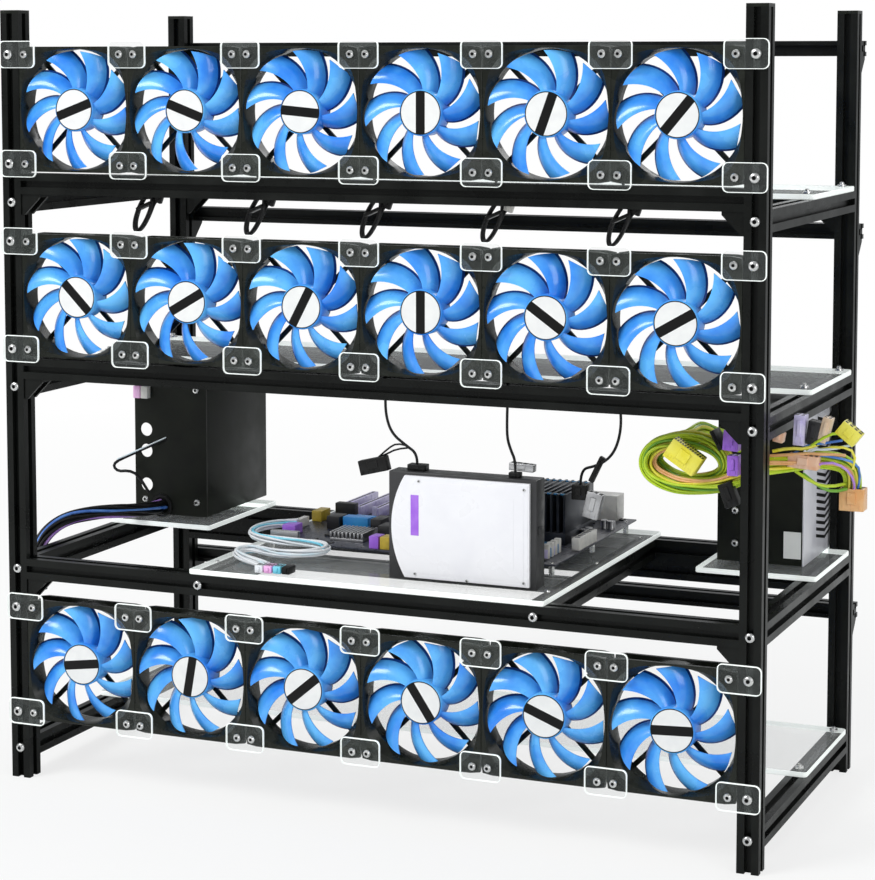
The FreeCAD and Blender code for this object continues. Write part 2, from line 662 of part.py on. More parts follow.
# Routes of the cords, in millimetres, point by point.
SUPPLY_STEM = [(312, 235, 345), (312, 205, 345), (306, 176, 350), (299, 148, 359), (293, 122, 369),
               (292, 98, 372), (292, 72, 372)]
SUPPLY_RUN = [(342, 57, 350), (362, 57, 350), (385, 63, 353), (408, 76, 357), (428, 90, 354), (436, 97, 343),
              (436, 97, 330)]
INPUT_ROUTE = [(-340, 235, 234), (-340, 215, 234), (-345, 192, 236), (-355, 166, 239), (-368, 138, 241),
               (-386, 112, 238), (-399, 95, 224), (-403, 84, 206), (-403, 84, 188)]
LEAD_LEFT = [(14, 26.3, 424), (14, 26.3, 402), (13, 29, 380), (17, 34, 362), (28, 43, 350), (36, 49.5, 342),
             (36, 49.5, 332.6)]
LEAD_MIDDLE = [(135, 26.3, 424), (135, 26.3, 402), (133, 30, 380), (131, 36, 364), (132, 43, 352),
               (134.5, 48, 342), (134.5, 48, 331.6)]
LEAD_RIGHT = [(242, 26.3, 424), (242, 26.3, 402), (241, 33, 382), (234, 42, 362), (222, 54, 348),
              (204, 70, 338), (185, 84, 332), (185, 84, 318)]


def build_cords():
    for number in range(1, 6):
        x = "(%d - fan_count / 2) * fan_side" % number
        beam_bottom = "level_top + front_rise - beam_side / 2"
        piece("lead_hank_%d" % number,
              block("LeadHank_%d" % number, "%s - hank_width / 2" % x, "fan_depth",
                    beam_bottom + " - 30", "hank_width", "hank_depth", "hank_height"))
    tube("lead_left", LEAD_LEFT, size("lead_width"))
    tube("lead_middle", LEAD_MIDDLE, size("lead_width"))
    tube("lead_right", LEAD_RIGHT, size("lead_width"))
    tube("input_cable", INPUT_ROUTE, size("input_width"))
    tube("supply_cable_stem", SUPPLY_STEM, size("bundle_width"))
    tube("supply_cable_run", SUPPLY_RUN, size("bundle_width"))
    build_coil()
    build_plugs()


def build_coil():
    """The supply's spare cable, folded into an oval loop that stands behind the post."""
    wide, tall, thick = 88.0, 58.0, 30.0
    centre = Vector(298, 57, 350)
    bar = size("bundle_width") + 1
    outer = rounded(wide, tall, thick, centre)
    inner = rounded(wide - 2 * bar, tall - 2 * bar, thick + 2, centre)
    item = DOC.addObject("Part::Feature", "supply_cable_coil")
    item.Shape = outer.cut(inner)
    piece("supply_cable_coil", item)


def rounded(wide, tall, thick, centre):
    """An upright oval slab about a centre: straight top and bottom, round ends."""
    reach = (wide - tall) / 2
    radius = tall / 2
    low, high = Vector(-reach, 0, -radius), Vector(reach, 0, -radius)
    up_high, up_low = Vector(reach, 0, radius), Vector(-reach, 0, radius)
    edges = [Part.LineSegment(low, high).toShape(),
             Part.Arc(high, Vector(reach + radius, 0, 0), up_high).toShape(),
             Part.LineSegment(up_high, up_low).toShape(),
             Part.Arc(up_low, Vector(-reach - radius, 0, 0), low).toShape()]
    slab = Part.Face(Part.Wire(edges)).extrude(Vector(0, thick, 0))
    slab.translate(centre - Vector(0, thick / 2, 0))
    return slab


def build_plugs():
    plugs = [
        block("RunPlug", 425, 89, 310, 22, 16, 20),
        block("LoopPlug", 303, 25, 338, 32, 17, 24),
        block("LeftLeadPlug", 28, 44, 326.6, 18, 11, 6),
        block("MiddleLeadPlug", 129, 44, 326.6, 11, 8, 5),
        block("RightLeadPlug", 178, 78, 304, 14, 12, 14),
        block("InputPlug", -412, 76, 168, 18, 16, 20),
    ]
    group("cable_plugs", plugs)


def check_and_write():
    DOC.recompute()
    failed = [item.Name for item in DOC.Objects
              if any(word in ("Invalid", "Error") for word in item.State)]
    failed += [item.Label for item in PIECES if item.Shape.isNull() or not item.Shape.isValid()]
    if failed:
        raise RuntimeError("these objects failed: " + ", ".join(failed))
    os.makedirs("parts", exist_ok=True)
    for item in PIECES:
        item.Shape.exportStep("parts/%s.step" % item.Label)
    print("%d sub-parts, %d solids" % (len(PIECES), sum(len(item.Shape.Solids) for item in PIECES)))


build_posts()
build_beams()
build_rails()
build_brackets()
build_shelves()
build_fans()
build_link_plates()
build_bolts()
build_board()
build_cooler()
build_disk()
build_supplies()
build_cords()
check_and_write()
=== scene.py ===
# The looks of the open rig frame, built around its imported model: eighteen fans,
# clear plates, board, disk, two power supplies and their cables. Metres, Z up.
import math
import random

import bmesh
import bpy
from mathutils import Matrix, Vector


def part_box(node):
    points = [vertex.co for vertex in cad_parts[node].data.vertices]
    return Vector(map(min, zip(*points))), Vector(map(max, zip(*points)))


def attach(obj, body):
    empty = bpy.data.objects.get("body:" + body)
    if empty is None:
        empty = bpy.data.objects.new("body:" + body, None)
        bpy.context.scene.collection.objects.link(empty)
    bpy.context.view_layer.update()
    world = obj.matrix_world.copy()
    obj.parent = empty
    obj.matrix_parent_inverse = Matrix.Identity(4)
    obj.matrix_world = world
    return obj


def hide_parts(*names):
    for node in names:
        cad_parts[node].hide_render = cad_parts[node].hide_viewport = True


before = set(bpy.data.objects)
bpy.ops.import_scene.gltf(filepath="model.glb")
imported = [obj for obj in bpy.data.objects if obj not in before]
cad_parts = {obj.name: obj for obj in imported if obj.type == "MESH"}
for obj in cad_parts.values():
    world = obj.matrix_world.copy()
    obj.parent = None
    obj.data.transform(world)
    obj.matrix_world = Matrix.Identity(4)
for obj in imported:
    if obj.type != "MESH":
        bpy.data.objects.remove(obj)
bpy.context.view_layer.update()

MM = 0.001
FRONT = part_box("fan_frames_top")[0].y
ROWS = ("top", "middle", "bottom")
FANS = 6

# Sizes in millimetres; depths run back from the posts' front faces.
FAN_SIDE = 120.0
FAN_HOLES = 105.0
POST_X = 370.0
FRAME_DEPTH = 350.0
BEAM_HALF = 10.0
SHEET = 5.0
TRAY_LEVEL = 210.0
TRAY_TOP = 225.0
TRAY_HALF = 180.0
TRAY_SCREW_X = 170.0
SIDE_LEVELS = (570.0, 390.0, TRAY_LEVEL, 30.0)
SHELF_LEVELS = (570.0, 390.0, 30.0)
SHELF_BACK = 329.7
BOARD_TOP = 236.6
BOARD_LEFT, BOARD_WIDE = -150.0, 305.0
BOARD_FRONT, BOARD_DEEP = 100.0, 244.0
DISK_TALL = 101.6
SUPPLY_FRONT, SUPPLY_FACE, SUPPLY_TALL = 235.0, 234.6, 150.0

UPRIGHT = Matrix.Identity(4)
TO_FRONT = Matrix.Rotation(math.radians(90), 4, "X")
TO_BACK = Matrix.Rotation(math.radians(-90), 4, "X")
random.seed(11)


def spot(x, y, z):
    """A place in metres, from millimetres measured back from the posts' front faces."""
    return Vector((x * MM, FRONT + y * MM, z * MM))


def fan_x(number):
    return (number - (FANS + 1) / 2) * FAN_SIDE


def row_z(row):
    low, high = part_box("fan_frames_" + row)
    return (low.z + high.z) / 2 / MM


# Materials

def new_group(name, inputs, outputs):
    group = bpy.data.node_groups.new(name, "ShaderNodeTree")
    for label, kind, value in inputs:
        socket = group.interface.new_socket(name=label, in_out="INPUT", socket_type=kind)
        if value is not None:
            socket.default_value = value
    for label, kind in outputs:
        group.interface.new_socket(name=label, in_out="OUTPUT", socket_type=kind)
    return group, group.nodes.new("NodeGroupInput"), group.nodes.new("NodeGroupOutput")


def set_inputs(node, values):
    for label, value in values.items():
        node.inputs[label].default_value = value


def mottle_group():
    """Slow changes of colour and a fine grain, for moulded, painted and plated faces; on the blades the
    lighter colour is a painted highlight.
    """
    group, given, made = new_group(
        "Mottle",
        [("Vector", "NodeSocketVector", None), ("Scale", "NodeSocketFloat", 40.0),
         ("Colour", "NodeSocketColor", (0.5, 0.5, 0.5, 1)),
         ("Second Colour", "NodeSocketColor", (0.4, 0.4, 0.4, 1)),
         ("Smooth", "NodeSocketFloat", 0.3), ("Rough", "NodeSocketFloat", 0.45),
         ("Grain Scale", "NodeSocketFloat", 900.0), ("Grain Depth", "NodeSocketFloat", 0.1)],
        [("Colour", "NodeSocketColor"), ("Roughness", "NodeSocketFloat"), ("Normal", "NodeSocketVector")])
    link = group.links.new
    slow = group.nodes.new("ShaderNodeTexNoise")
    slow.inputs["Detail"].default_value = 4
    link(given.outputs["Vector"], slow.inputs["Vector"])
    link(given.outputs["Scale"], slow.inputs["Scale"])
    spread = group.nodes.new("ShaderNodeMapRange")
    set_inputs(spread, {"From Min": 0.35, "From Max": 0.65})
    link(slow.outputs["Fac"], spread.inputs["Value"])
    colours = group.nodes.new("ShaderNodeMix")
    colours.data_type = "RGBA"
    link(spread.outputs["Result"], colours.inputs["Factor"])
    link(given.outputs["Colour"], colours.inputs["A"])
    link(given.outputs["Second Colour"], colours.inputs["B"])
    link(colours.outputs["Result"], made.inputs["Colour"])
    rough = group.nodes.new("ShaderNodeMix")
    link(spread.outputs["Result"], rough.inputs["Factor"])
    link(given.outputs["Smooth"], rough.inputs["A"])
    link(given.outputs["Rough"], rough.inputs["B"])
    link(rough.outputs["Result"], made.inputs["Roughness"])
    fine = group.nodes.new("ShaderNodeTexNoise")
    fine.inputs["Detail"].default_value = 2
    link(given.outputs["Vector"], fine.inputs["Vector"])
    link(given.outputs["Grain Scale"], fine.inputs["Scale"])
    bump = group.nodes.new("ShaderNodeBump")
    bump.inputs["Distance"].default_value = 0.0003
    link(fine.outputs["Fac"], bump.inputs["Height"])
    link(given.outputs["Grain Depth"], bump.inputs["Strength"])
    link(bump.outputs["Normal"], made.inputs["Normal"])
    return group


MOTTLE = mottle_group()


def finish_of(name, colour, second=None, smooth=0.3, rough=0.42, scale=40.0, grain=900.0, depth=0.1,
              **shader):
    """A material whose colour, roughness and fine relief come from the Mottle group."""
    material = bpy.data.materials.new(name)
    material.use_nodes = True
    nodes, link = material.node_tree.nodes, material.node_tree.links.new
    surface = nodes["Principled BSDF"]
    place = nodes.new("ShaderNodeTexCoord")
    mottle = nodes.new("ShaderNodeGroup")
    mottle.node_tree = MOTTLE
    link(place.outputs["Object"], mottle.inputs["Vector"])
    second = second or [0.8 * part for part in colour]
    set_inputs(mottle, {"Scale": scale, "Colour": (*colour, 1), "Second Colour": (*second, 1),
                        "Smooth": smooth, "Rough": rough, "Grain Scale": grain, "Grain Depth": depth})
    link(mottle.outputs["Colour"], surface.inputs["Base Color"])
    link(mottle.outputs["Roughness"], surface.inputs["Roughness"])
    link(mottle.outputs["Normal"], surface.inputs["Normal"])
    for label, value in shader.items():
        surface.inputs[label.replace("_", " ").title().replace("Ior", "IOR")].default_value = value
    return material


def wire_finish(name, colour, second):
    return finish_of(name, colour, second, 0.25, 0.38, 60)


ANODISED = finish_of("black_anodised", (0.004, 0.0045, 0.004), (0.008, 0.009, 0.008), 0.24, 0.36, 25, 1800,
                     0.05, specular_ior_level=0.16)
HOUSING = finish_of("fan_housing_black", (0.007, 0.0085, 0.006), (0.013, 0.015, 0.011), 0.2, 0.34, 60, 1200,
                    0.08, specular_ior_level=0.25)
# The lighter second azure makes blotches that are painted highlights on the blue blades.
BLADE = finish_of("blade_azure_painted_highlights", (0.025, 0.24, 0.86), (0.12, 0.5, 0.98), 0.2, 0.3, 26, 700, 0.04,
                  coat_weight=0.25)
# Darker navy for the faces along each blade's trailing edge: painted shade where the blade turns away and
# deep.
BLADE_TRAILING_SHADE = finish_of("blade_painted_trailing_shade", (0.006, 0.04, 0.22), (0.012, 0.08, 0.36), 0.25, 0.35, 26, 700, 0.04)
LABEL = finish_of("hub_label_white", (0.83, 0.84, 0.83), (0.78, 0.79, 0.79), 0.35, 0.45, 90, 500, 0.02)
STRIPE = finish_of("hub_stripe_black", (0.005, 0.005, 0.005), None, 0.3, 0.4, 90, 500, 0.02,
                   specular_ior_level=0.2)
STEEL = finish_of("bright_steel", (0.74, 0.74, 0.73), (0.6, 0.6, 0.6), 0.18, 0.34, 300, 2500, 0.06,
                  metallic=1.0)
# Near black for the insides of screw sockets, nut holes, contact cells, slot grooves and vent slots: painted
# shade in openings.
RECESS_SHADE = finish_of("painted_recess_shade", (0.008, 0.008, 0.008), specular_ior_level=0.1)
# The near-white colour at low alpha paints the plates' reflection of the white surroundings; the acrylic
# itself is clear.
ACRYLIC = finish_of("clear_acrylic", (0.93, 0.96, 0.95), (0.9, 0.94, 0.93), 0.03, 0.07, 12, 80, 0.01,
                    alpha=0.2, coat_weight=0.6)
ACRYLIC_THIN = finish_of("clear_acrylic_small", (0.5, 0.54, 0.53), (0.45, 0.5, 0.48), 0.04, 0.08, 12, 80,
                         0.01, alpha=0.07)
# Near-white with a faint glow on the plates' cut edges: a painted highlight.
ACRYLIC_EDGE_HIGHLIGHT = finish_of("acrylic_edge_painted_highlight", (0.9, 0.94, 0.92), (0.84, 0.88, 0.86), 0.25, 0.4, 120, 1500, 0.1,
                         alpha=0.95, emission_color=(0.95, 1.0, 0.97, 1), emission_strength=0.4)
BOARD = finish_of("board_dark", (0.02, 0.022, 0.035), (0.035, 0.04, 0.06), 0.25, 0.4, 160, 1500, 0.3)
CHIP = finish_of("chip_black", (0.02, 0.02, 0.022), None, 0.35, 0.5, 200)
LAVENDER = finish_of("slot_lavender", (0.62, 0.56, 0.88), (0.74, 0.7, 0.92), 0.25, 0.35, 150)
TEAL = finish_of("socket_blue", (0.03, 0.22, 0.5), (0.04, 0.3, 0.55), 0.25, 0.4, 150)
GOLD = finish_of("socket_yellow", (0.62, 0.45, 0.05), (0.5, 0.36, 0.04), 0.3, 0.4, 150)
IVORY = finish_of("socket_ivory", (0.8, 0.78, 0.74), (0.7, 0.69, 0.66), 0.3, 0.4, 150)
FIN = finish_of("cooler_black", (0.03, 0.035, 0.045), (0.05, 0.055, 0.07), 0.28, 0.4, 80, 2000, 0.05,
                metallic=0.6)
ALLOY = finish_of("cast_alloy", (0.55, 0.55, 0.56), (0.45, 0.45, 0.46), 0.3, 0.45, 120, 1400, 0.15,
                  metallic=1.0)
DISK_DARK = finish_of("disk_casting_dark", (0.035, 0.035, 0.037), None, 0.35, 0.5, 100, 1400, 0.2)
DISK_COVER = finish_of("disk_cover_white", (0.9, 0.9, 0.93), (0.86, 0.86, 0.9), 0.24, 0.36, 30, 1500, 0.04)
VIOLET = finish_of("violet_print", (0.35, 0.12, 0.75), (0.42, 0.18, 0.8), 0.3, 0.4, 90)
SUPPLY = finish_of("supply_black", (0.006, 0.007, 0.0055), (0.011, 0.013, 0.009), 0.34, 0.48, 30, 1500, 0.15,
                   specular_ior_level=0.16)
PANEL = finish_of("vent_panel_grey", (0.72, 0.72, 0.78), (0.8, 0.8, 0.84), 0.28, 0.42, 40, 1800, 0.05,
                  metallic=0.3)
LEAD = finish_of("lead_black", (0.006, 0.006, 0.007), (0.012, 0.012, 0.013), 0.35, 0.5, 200,
                 specular_ior_level=0.25)
PLUG_BLACK = finish_of("plug_black", (0.008, 0.008, 0.008), None, 0.3, 0.45, 150, specular_ior_level=0.25)
LIME = wire_finish("wire_lime", (0.45, 0.66, 0.02), (0.6, 0.78, 0.05))
YELLOW = wire_finish("wire_yellow", (0.8, 0.72, 0.04), (0.86, 0.8, 0.12))
GREEN = wire_finish("wire_green", (0.12, 0.36, 0.03), (0.2, 0.46, 0.05))
BLUE = wire_finish("wire_blue", (0.05, 0.16, 0.55), (0.12, 0.3, 0.7))
ORANGE = wire_finish("wire_orange", (0.82, 0.42, 0.16), (0.86, 0.52, 0.25))
PURPLE = wire_finish("wire_purple", (0.42, 0.2, 0.72), (0.55, 0.32, 0.8))
PEACH = finish_of("plug_peach", (0.88, 0.5, 0.3), (0.9, 0.62, 0.46), 0.3, 0.4, 90)
BEIGE = finish_of("plug_beige", (0.78, 0.58, 0.4), (0.82, 0.66, 0.5), 0.3, 0.4, 90)
PINK = finish_of("plug_pink", (0.86, 0.42, 0.78), (0.9, 0.55, 0.84), 0.3, 0.4, 90)
CYAN = wire_finish("wire_cyan", (0.12, 0.6, 0.8), (0.3, 0.72, 0.86))
WHITE_WIRE = wire_finish("wire_white", (0.86, 0.88, 0.9), (0.78, 0.81, 0.85))
BRIGHT_BLUE = wire_finish("plug_bright_blue", (0.03, 0.3, 0.85), (0.05, 0.4, 0.9))
PALE = wire_finish("wire_pale", (0.8, 0.84, 0.86), (0.62, 0.78, 0.86))


# Making of pieces

def add_object(name, data):
    item = bpy.data.objects.new(name, data)
    bpy.context.scene.collection.objects.link(item)
    return item


def keep(name, mesh, materials, body="frame", replaces=(), sharp=35):
    """Turn a finished bmesh into a named piece that rides on a body."""
    data = bpy.data.meshes.new(name)
    mesh.to_mesh(data)
    mesh.free()
    data.shade_smooth()
    data.set_sharp_from_angle(angle=math.radians(sharp))
    for material in materials:
        data.materials.append(material)
    item = add_object(name, data)
    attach(item, body)
    if replaces:
        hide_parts(*replaces)
    return item


def keep_screws(name, mesh, replaces=()):
    """The same for screws, with painted shade in their sockets."""
    return keep(name, mesh, [STEEL, RECESS_SHADE], replaces=replaces)


def template(mesh):
    """A mesh that is stamped many times."""
    bmesh.ops.recalc_face_normals(mesh, faces=mesh.faces)
    data = bpy.data.meshes.new("template")
    mesh.to_mesh(data)
    mesh.free()
    return data


def stamp(mesh, shape, place):
    """Add a moved copy of a template."""
    moved = shape.copy()
    moved.transform(place)
    mesh.from_mesh(moved)
    bpy.data.meshes.remove(moved)


def put(mesh, shape, x, y, z, turn=UPRIGHT):
    """The same, at a place in millimetres."""
    stamp(mesh, shape, Matrix.Translation(spot(x, y, z)) @ turn)


def paint(faces, material):
    for face in faces:
        face.material_index = material


def box(mesh, low, high, edge=0.0, steps=2, material=0):
    """A block between two corners given in model metres, its edges rounded."""
    low, high = Vector(low), Vector(high)
    verts = bmesh.ops.create_cube(mesh, size=1)["verts"]
    bmesh.ops.scale(mesh, vec=high - low, verts=verts)
    bmesh.ops.translate(mesh, vec=(high + low) / 2, verts=verts)
    paint({face for vert in verts for face in vert.link_faces}, material)
    if edge:
        edges = list({line for vert in verts for line in vert.link_edges})
        bmesh.ops.bevel(mesh, geom=edges, offset=edge, offset_type="OFFSET", affect="EDGES",
                        segments=steps, profile=0.5, material=-1)


def block(mesh, x, y, z, length, depth, height, edge=0.5, material=0, steps=2):
    """The same, in millimetres from the posts' front faces."""
    box(mesh, spot(x, y, z), spot(x + length, y + depth, z + height), edge * MM, steps, material)


def turned(profile, steps=24, recess=0.0, scale=MM):
    """A template turned about Z from (radius, height) pairs; faces inside recess get the second material,
    painted shade.
    """
    mesh = bmesh.new()
    verts = [mesh.verts.new((radius * scale, 0, height * scale)) for radius, height in profile]
    edges = [mesh.edges.new(pair) for pair in zip(verts, verts[1:])]
    bmesh.ops.spin(mesh, geom=verts + edges, cent=(0, 0, 0), axis=(0, 0, 1),
                   angle=2 * math.pi, steps=steps, use_merge=True)
    bmesh.ops.remove_doubles(mesh, verts=mesh.verts, dist=1e-7)
    for face in mesh.faces:
        if face.calc_center_median().xy.length < recess * scale:
            face.material_index = 1
    return template(mesh)


def sheet_plate(mesh, low, high, corner, thin, edge=0.6):
    """A clear plate with round corners; its cut edges take the second material, a painted highlight."""
    plate = bmesh.new()
    box(plate, low, high)
    upright = [line for line in plate.edges
               if abs((line.verts[0].co - line.verts[1].co).normalized()[thin]) > 0.9]
    bmesh.ops.bevel(plate, geom=upright, offset=corner * MM, offset_type="OFFSET",
                    affect="EDGES", segments=4, profile=0.5, material=-1)
    plate.normal_update()
    rims = {line for face in plate.faces if abs(face.normal[thin]) > 0.9 for line in face.edges}
    bmesh.ops.bevel(plate, geom=list(rims), offset=edge * MM, offset_type="OFFSET",
                    affect="EDGES", segments=1, profile=0.5, material=-1)
    plate.normal_update()
    for face in plate.faces:
        face.material_index = 0 if abs(face.normal[thin]) > 0.99 else 1
    stamp(mesh, template(plate), Matrix.Identity(4))


# Faces inside each recess radius take the painted shade of the socket.
SCREW = turned([(0, 0.8), (1.2, 0.9), (1.5, 2.1), (2.7, 2.0), (3.5, 1.3), (3.8, 0.4), (3.8, 0), (0, 0)], 20,
               1.4)
BOLT = turned([(0, 0.9), (1.6, 1.0), (1.9, 2.6), (3.3, 2.4), (4.2, 1.6), (4.7, 0.5), (4.7, 0), (0, 0)], 24,
              1.8)
SMALL_SCREW = turned([(0, 0.4), (0.7, 0.5), (0.9, 1.2), (1.6, 1.1), (2.0, 0.5), (2.1, 0), (0, 0)], 16, 0.85)
THUMB_NUT = turned([(0, 4.6), (1.4, 4.6), (2.2, 3.8), (2.3, 2.2), (4.2, 2.0), (4.4, 0.3), (4.2, 0), (0, 0)],
                   20)


# Camera, floor and light

def build_stage():
    camera_data = bpy.data.cameras.new("camera")
    camera = add_object("camera", camera_data)
    camera.location = (0.9089, FRONT - 1.9803, 0.7061)
    camera.rotation_euler = (math.radians(90 - 5.21), 0, math.radians(22.78))
    camera_data.lens = 98.1
    camera_data.sensor_width = 36
    camera_data.shift_y = -0.182
    camera_data.clip_end = 200
    bpy.context.scene.camera = camera

    floor_mesh = bmesh.new()
    bmesh.ops.create_grid(floor_mesh, x_segments=1, y_segments=1, size=60)
    floor_data = bpy.data.meshes.new("floor")
    floor_mesh.to_mesh(floor_data)
    floor_mesh.free()
    floor = add_object("floor", floor_data)
    floor_data.materials.append(white_floor())

    world = bpy.data.worlds.new("studio")
    bpy.context.scene.world = world
    world.use_nodes = True
    nodes, link = world.node_tree.nodes, world.node_tree.links.new
    nodes.clear()
    soft, white = nodes.new("ShaderNodeBackground"), nodes.new("ShaderNodeBackground")
    set_inputs(soft, {"Color": (0.96, 0.98, 1.0, 1), "Strength": 0.5})
    set_inputs(white, {"Color": (1, 1, 1, 1), "Strength": 1.0})
    mix, out = nodes.new("ShaderNodeMixShader"), nodes.new("ShaderNodeOutputWorld")
    link(seen_rays(nodes, link), mix.inputs[0])
    link(soft.outputs[0], mix.inputs[1])
    link(white.outputs[0], mix.inputs[2])
    link(mix.outputs[0], out.inputs["Surface"])

    for name, place, aim, width, power in (
            ("key_light", (-1.5, -2.2, 2.4), (0, 0, 0.4), 1.3, 66),
            ("fill_light", (2.4, -1.6, 1.2), (0, 0, 0.35), 1.4, 18),
            ("back_light", (0.3, 2.4, 2.2), (0, 0, 0.4), 1.8, 26)):
        lamp = bpy.data.lights.new(name, "AREA")
        lamp.size = width
        lamp.energy = power
        item = add_object(name, lamp)
        item.location = place
        item.rotation_euler = (Vector(aim) - Vector(place)).to_track_quat("-Z", "Y").to_euler()
    bpy.context.scene.view_settings.view_transform = "Standard"


def seen_rays(nodes, link):
    """1 for rays from the camera, or on through a see-through face."""
    rays, both = nodes.new("ShaderNodeLightPath"), nodes.new("ShaderNodeMath")
    both.operation = "MAXIMUM"
    link(rays.outputs["Is Camera Ray"], both.inputs[0])
    link(rays.outputs["Is Transmission Ray"], both.inputs[1])
    return both.outputs[0]


def white_floor():
    material = bpy.data.materials.new("floor_white")
    material.use_nodes = True
    nodes, link = material.node_tree.nodes, material.node_tree.links.new
    nodes.clear()
    matt, glow = nodes.new("ShaderNodeBsdfDiffuse"), nodes.new("ShaderNodeEmission")
    matt.inputs["Color"].default_value = (0.86, 0.87, 0.86, 1)
    glow.inputs["Color"].default_value = (1, 1, 1, 1)
    place, away = nodes.new("ShaderNodeTexCoord"), nodes.new("ShaderNodeVectorMath")
    away.operation = "LENGTH"
    link(place.outputs["Object"], away.inputs[0])
    whiter = nodes.new("ShaderNodeMapRange")
    set_inputs(whiter, {"From Min": 0.7, "From Max": 2.6, "To Min": 0.76, "To Max": 1.0})
    link(away.outputs["Value"], whiter.inputs["Value"])
    share = nodes.new("ShaderNodeMath")
    share.operation = "MULTIPLY"
    link(seen_rays(nodes, link), share.inputs[0])
    link(whiter.outputs["Result"], share.inputs[1])
    mix, out = nodes.new("ShaderNodeMixShader"), nodes.new("ShaderNodeOutputMaterial")
    link(share.outputs[0], mix.inputs[0])
    link(matt.outputs[0], mix.inputs[1])
    link(glow.outputs[0], mix.inputs[2])
    link(mix.outputs[0], out.inputs["Surface"])
    return material


build_stage()


# Cords

def route_curve(name, points, width):
    """A smooth open line through the route's points, as thick as the cord."""
    data = bpy.data.curves.new(name, "CURVE")
    data.dimensions = "3D"
    data.bevel_depth = width * MM / 2
    data.bevel_resolution = 3
    data.resolution_u = 6
    data.use_fill_caps = True
    spline = data.splines.new("NURBS")
    spline.points.add(len(points) - 1)
    for knot, place in zip(spline.points, points):
        knot.co = (*place, 1)
    spline.order_u = 3
    spline.use_endpoint_u = True
    return add_object(name, data)


def followed(points):
    """Points along the route's smooth line."""
    bare = route_curve("route", points, 0)
    bare.data.use_fill_caps = False
    mesh = bpy.data.meshes.new_from_object(bare)
    line = [vert.co.copy() for vert in mesh.vertices]
    bpy.data.meshes.remove(mesh)
    bpy.data.curves.remove(bare.data)
    return line


def line_length(line):
    return sum((after - before).length for before, after in zip(line, line[1:]))


def add_wire(mesh, line, width, material, sides=2):
    """Add a round wire along a line to a bmesh."""
    curve = route_curve("wire", line, width)
    curve.data.bevel_resolution = sides
    curve.data.resolution_u = 2
    shape = bpy.data.meshes.new_from_object(curve)
    first = len(mesh.faces)
    mesh.from_mesh(shape)
    mesh.faces.ensure_lookup_table()
    paint(mesh.faces[first:], material)
    bpy.data.meshes.remove(shape)
    bpy.data.curves.remove(curve.data)


def strands(mesh, line, lays, width, twist=3.0):
    """Wires laid round a route: each lay is its radius, its start angle and its material."""
    ahead = [(after - before).normalized() for before, after in zip(line, line[1:])]
    ahead.append(ahead[-1])
    side = ahead[0].orthogonal().normalized()
    sides = []
    for way in ahead:
        side = (side - way * side.dot(way)).normalized()
        sides.append(side)
    total = line_length(line)
    for radius, start, material in lays:
        gone, points = 0.0, []
        for place, way, side, after in zip(line, ahead, sides, line[1:] + line[-1:]):
            angle = start + twist * gone / total * math.tau / 3 + 0.25 * math.sin(gone * 60 + start * 3)
            over = way.cross(side)
            points.append(place + (side * math.cos(angle) + over * math.sin(angle)) * radius * MM)
            gone += (after - place).length
        add_wire(mesh, points[::2] + points[-1:], width, material)


# Routes in millimetres, the same points as in the part's source.
SUPPLY_STEM = [(312, 235, 345), (312, 205, 345), (306, 176, 350), (299, 148, 359), (293, 122, 369),
               (292, 98, 372)]
SUPPLY_RUN = [(362, 57, 350), (385, 63, 353), (408, 76, 357), (428, 90, 354), (436, 97, 343), (436, 97, 330)]
INPUT_ROUTE = [(-340, 235, 234), (-340, 215, 234), (-345, 192, 236), (-355, 166, 239), (-368, 138, 241),
               (-386, 112, 238), (-399, 95, 224), (-403, 84, 206), (-403, 84, 188)]
LEADS = {
    "lead_left": [(14, 26.3, 424), (14, 26.3, 402), (13, 29, 380), (17, 34, 362), (28, 43, 350),
                  (36, 49.5, 342), (36, 49.5, 332.6)],
    "lead_middle": [(135, 26.3, 424), (135, 26.3, 402), (133, 30, 380), (131, 36, 364), (132, 43, 352),
                    (134.5, 48, 342), (134.5, 48, 331.6)],
    "lead_right": [(242, 26.3, 424), (242, 26.3, 402), (241, 33, 382), (234, 42, 362), (222, 54, 348),
                   (204, 70, 338), (185, 84, 332), (185, 84, 318)],
}
LEAD_WIDTH = 2.6


def oval_turns(centre, half_wide, half_tall, start, turns, front, back, per_turn=14, uneven=0.02):
    """Points of an upright oval coil, seen from the front turning to the left at its top."""
    count = int(per_turn * turns)
    points = []
    for step in range(count + 1):
        share = step / count
        angle = math.radians(start + 360 * turns * share)
        loose = 1 + uneven * math.sin(2.1 * step)
        points.append((centre[0] + half_wide * loose * math.cos(angle),
                       back + (front - back) * share,
                       centre[1] + half_tall * loose * math.sin(angle)))
    return points


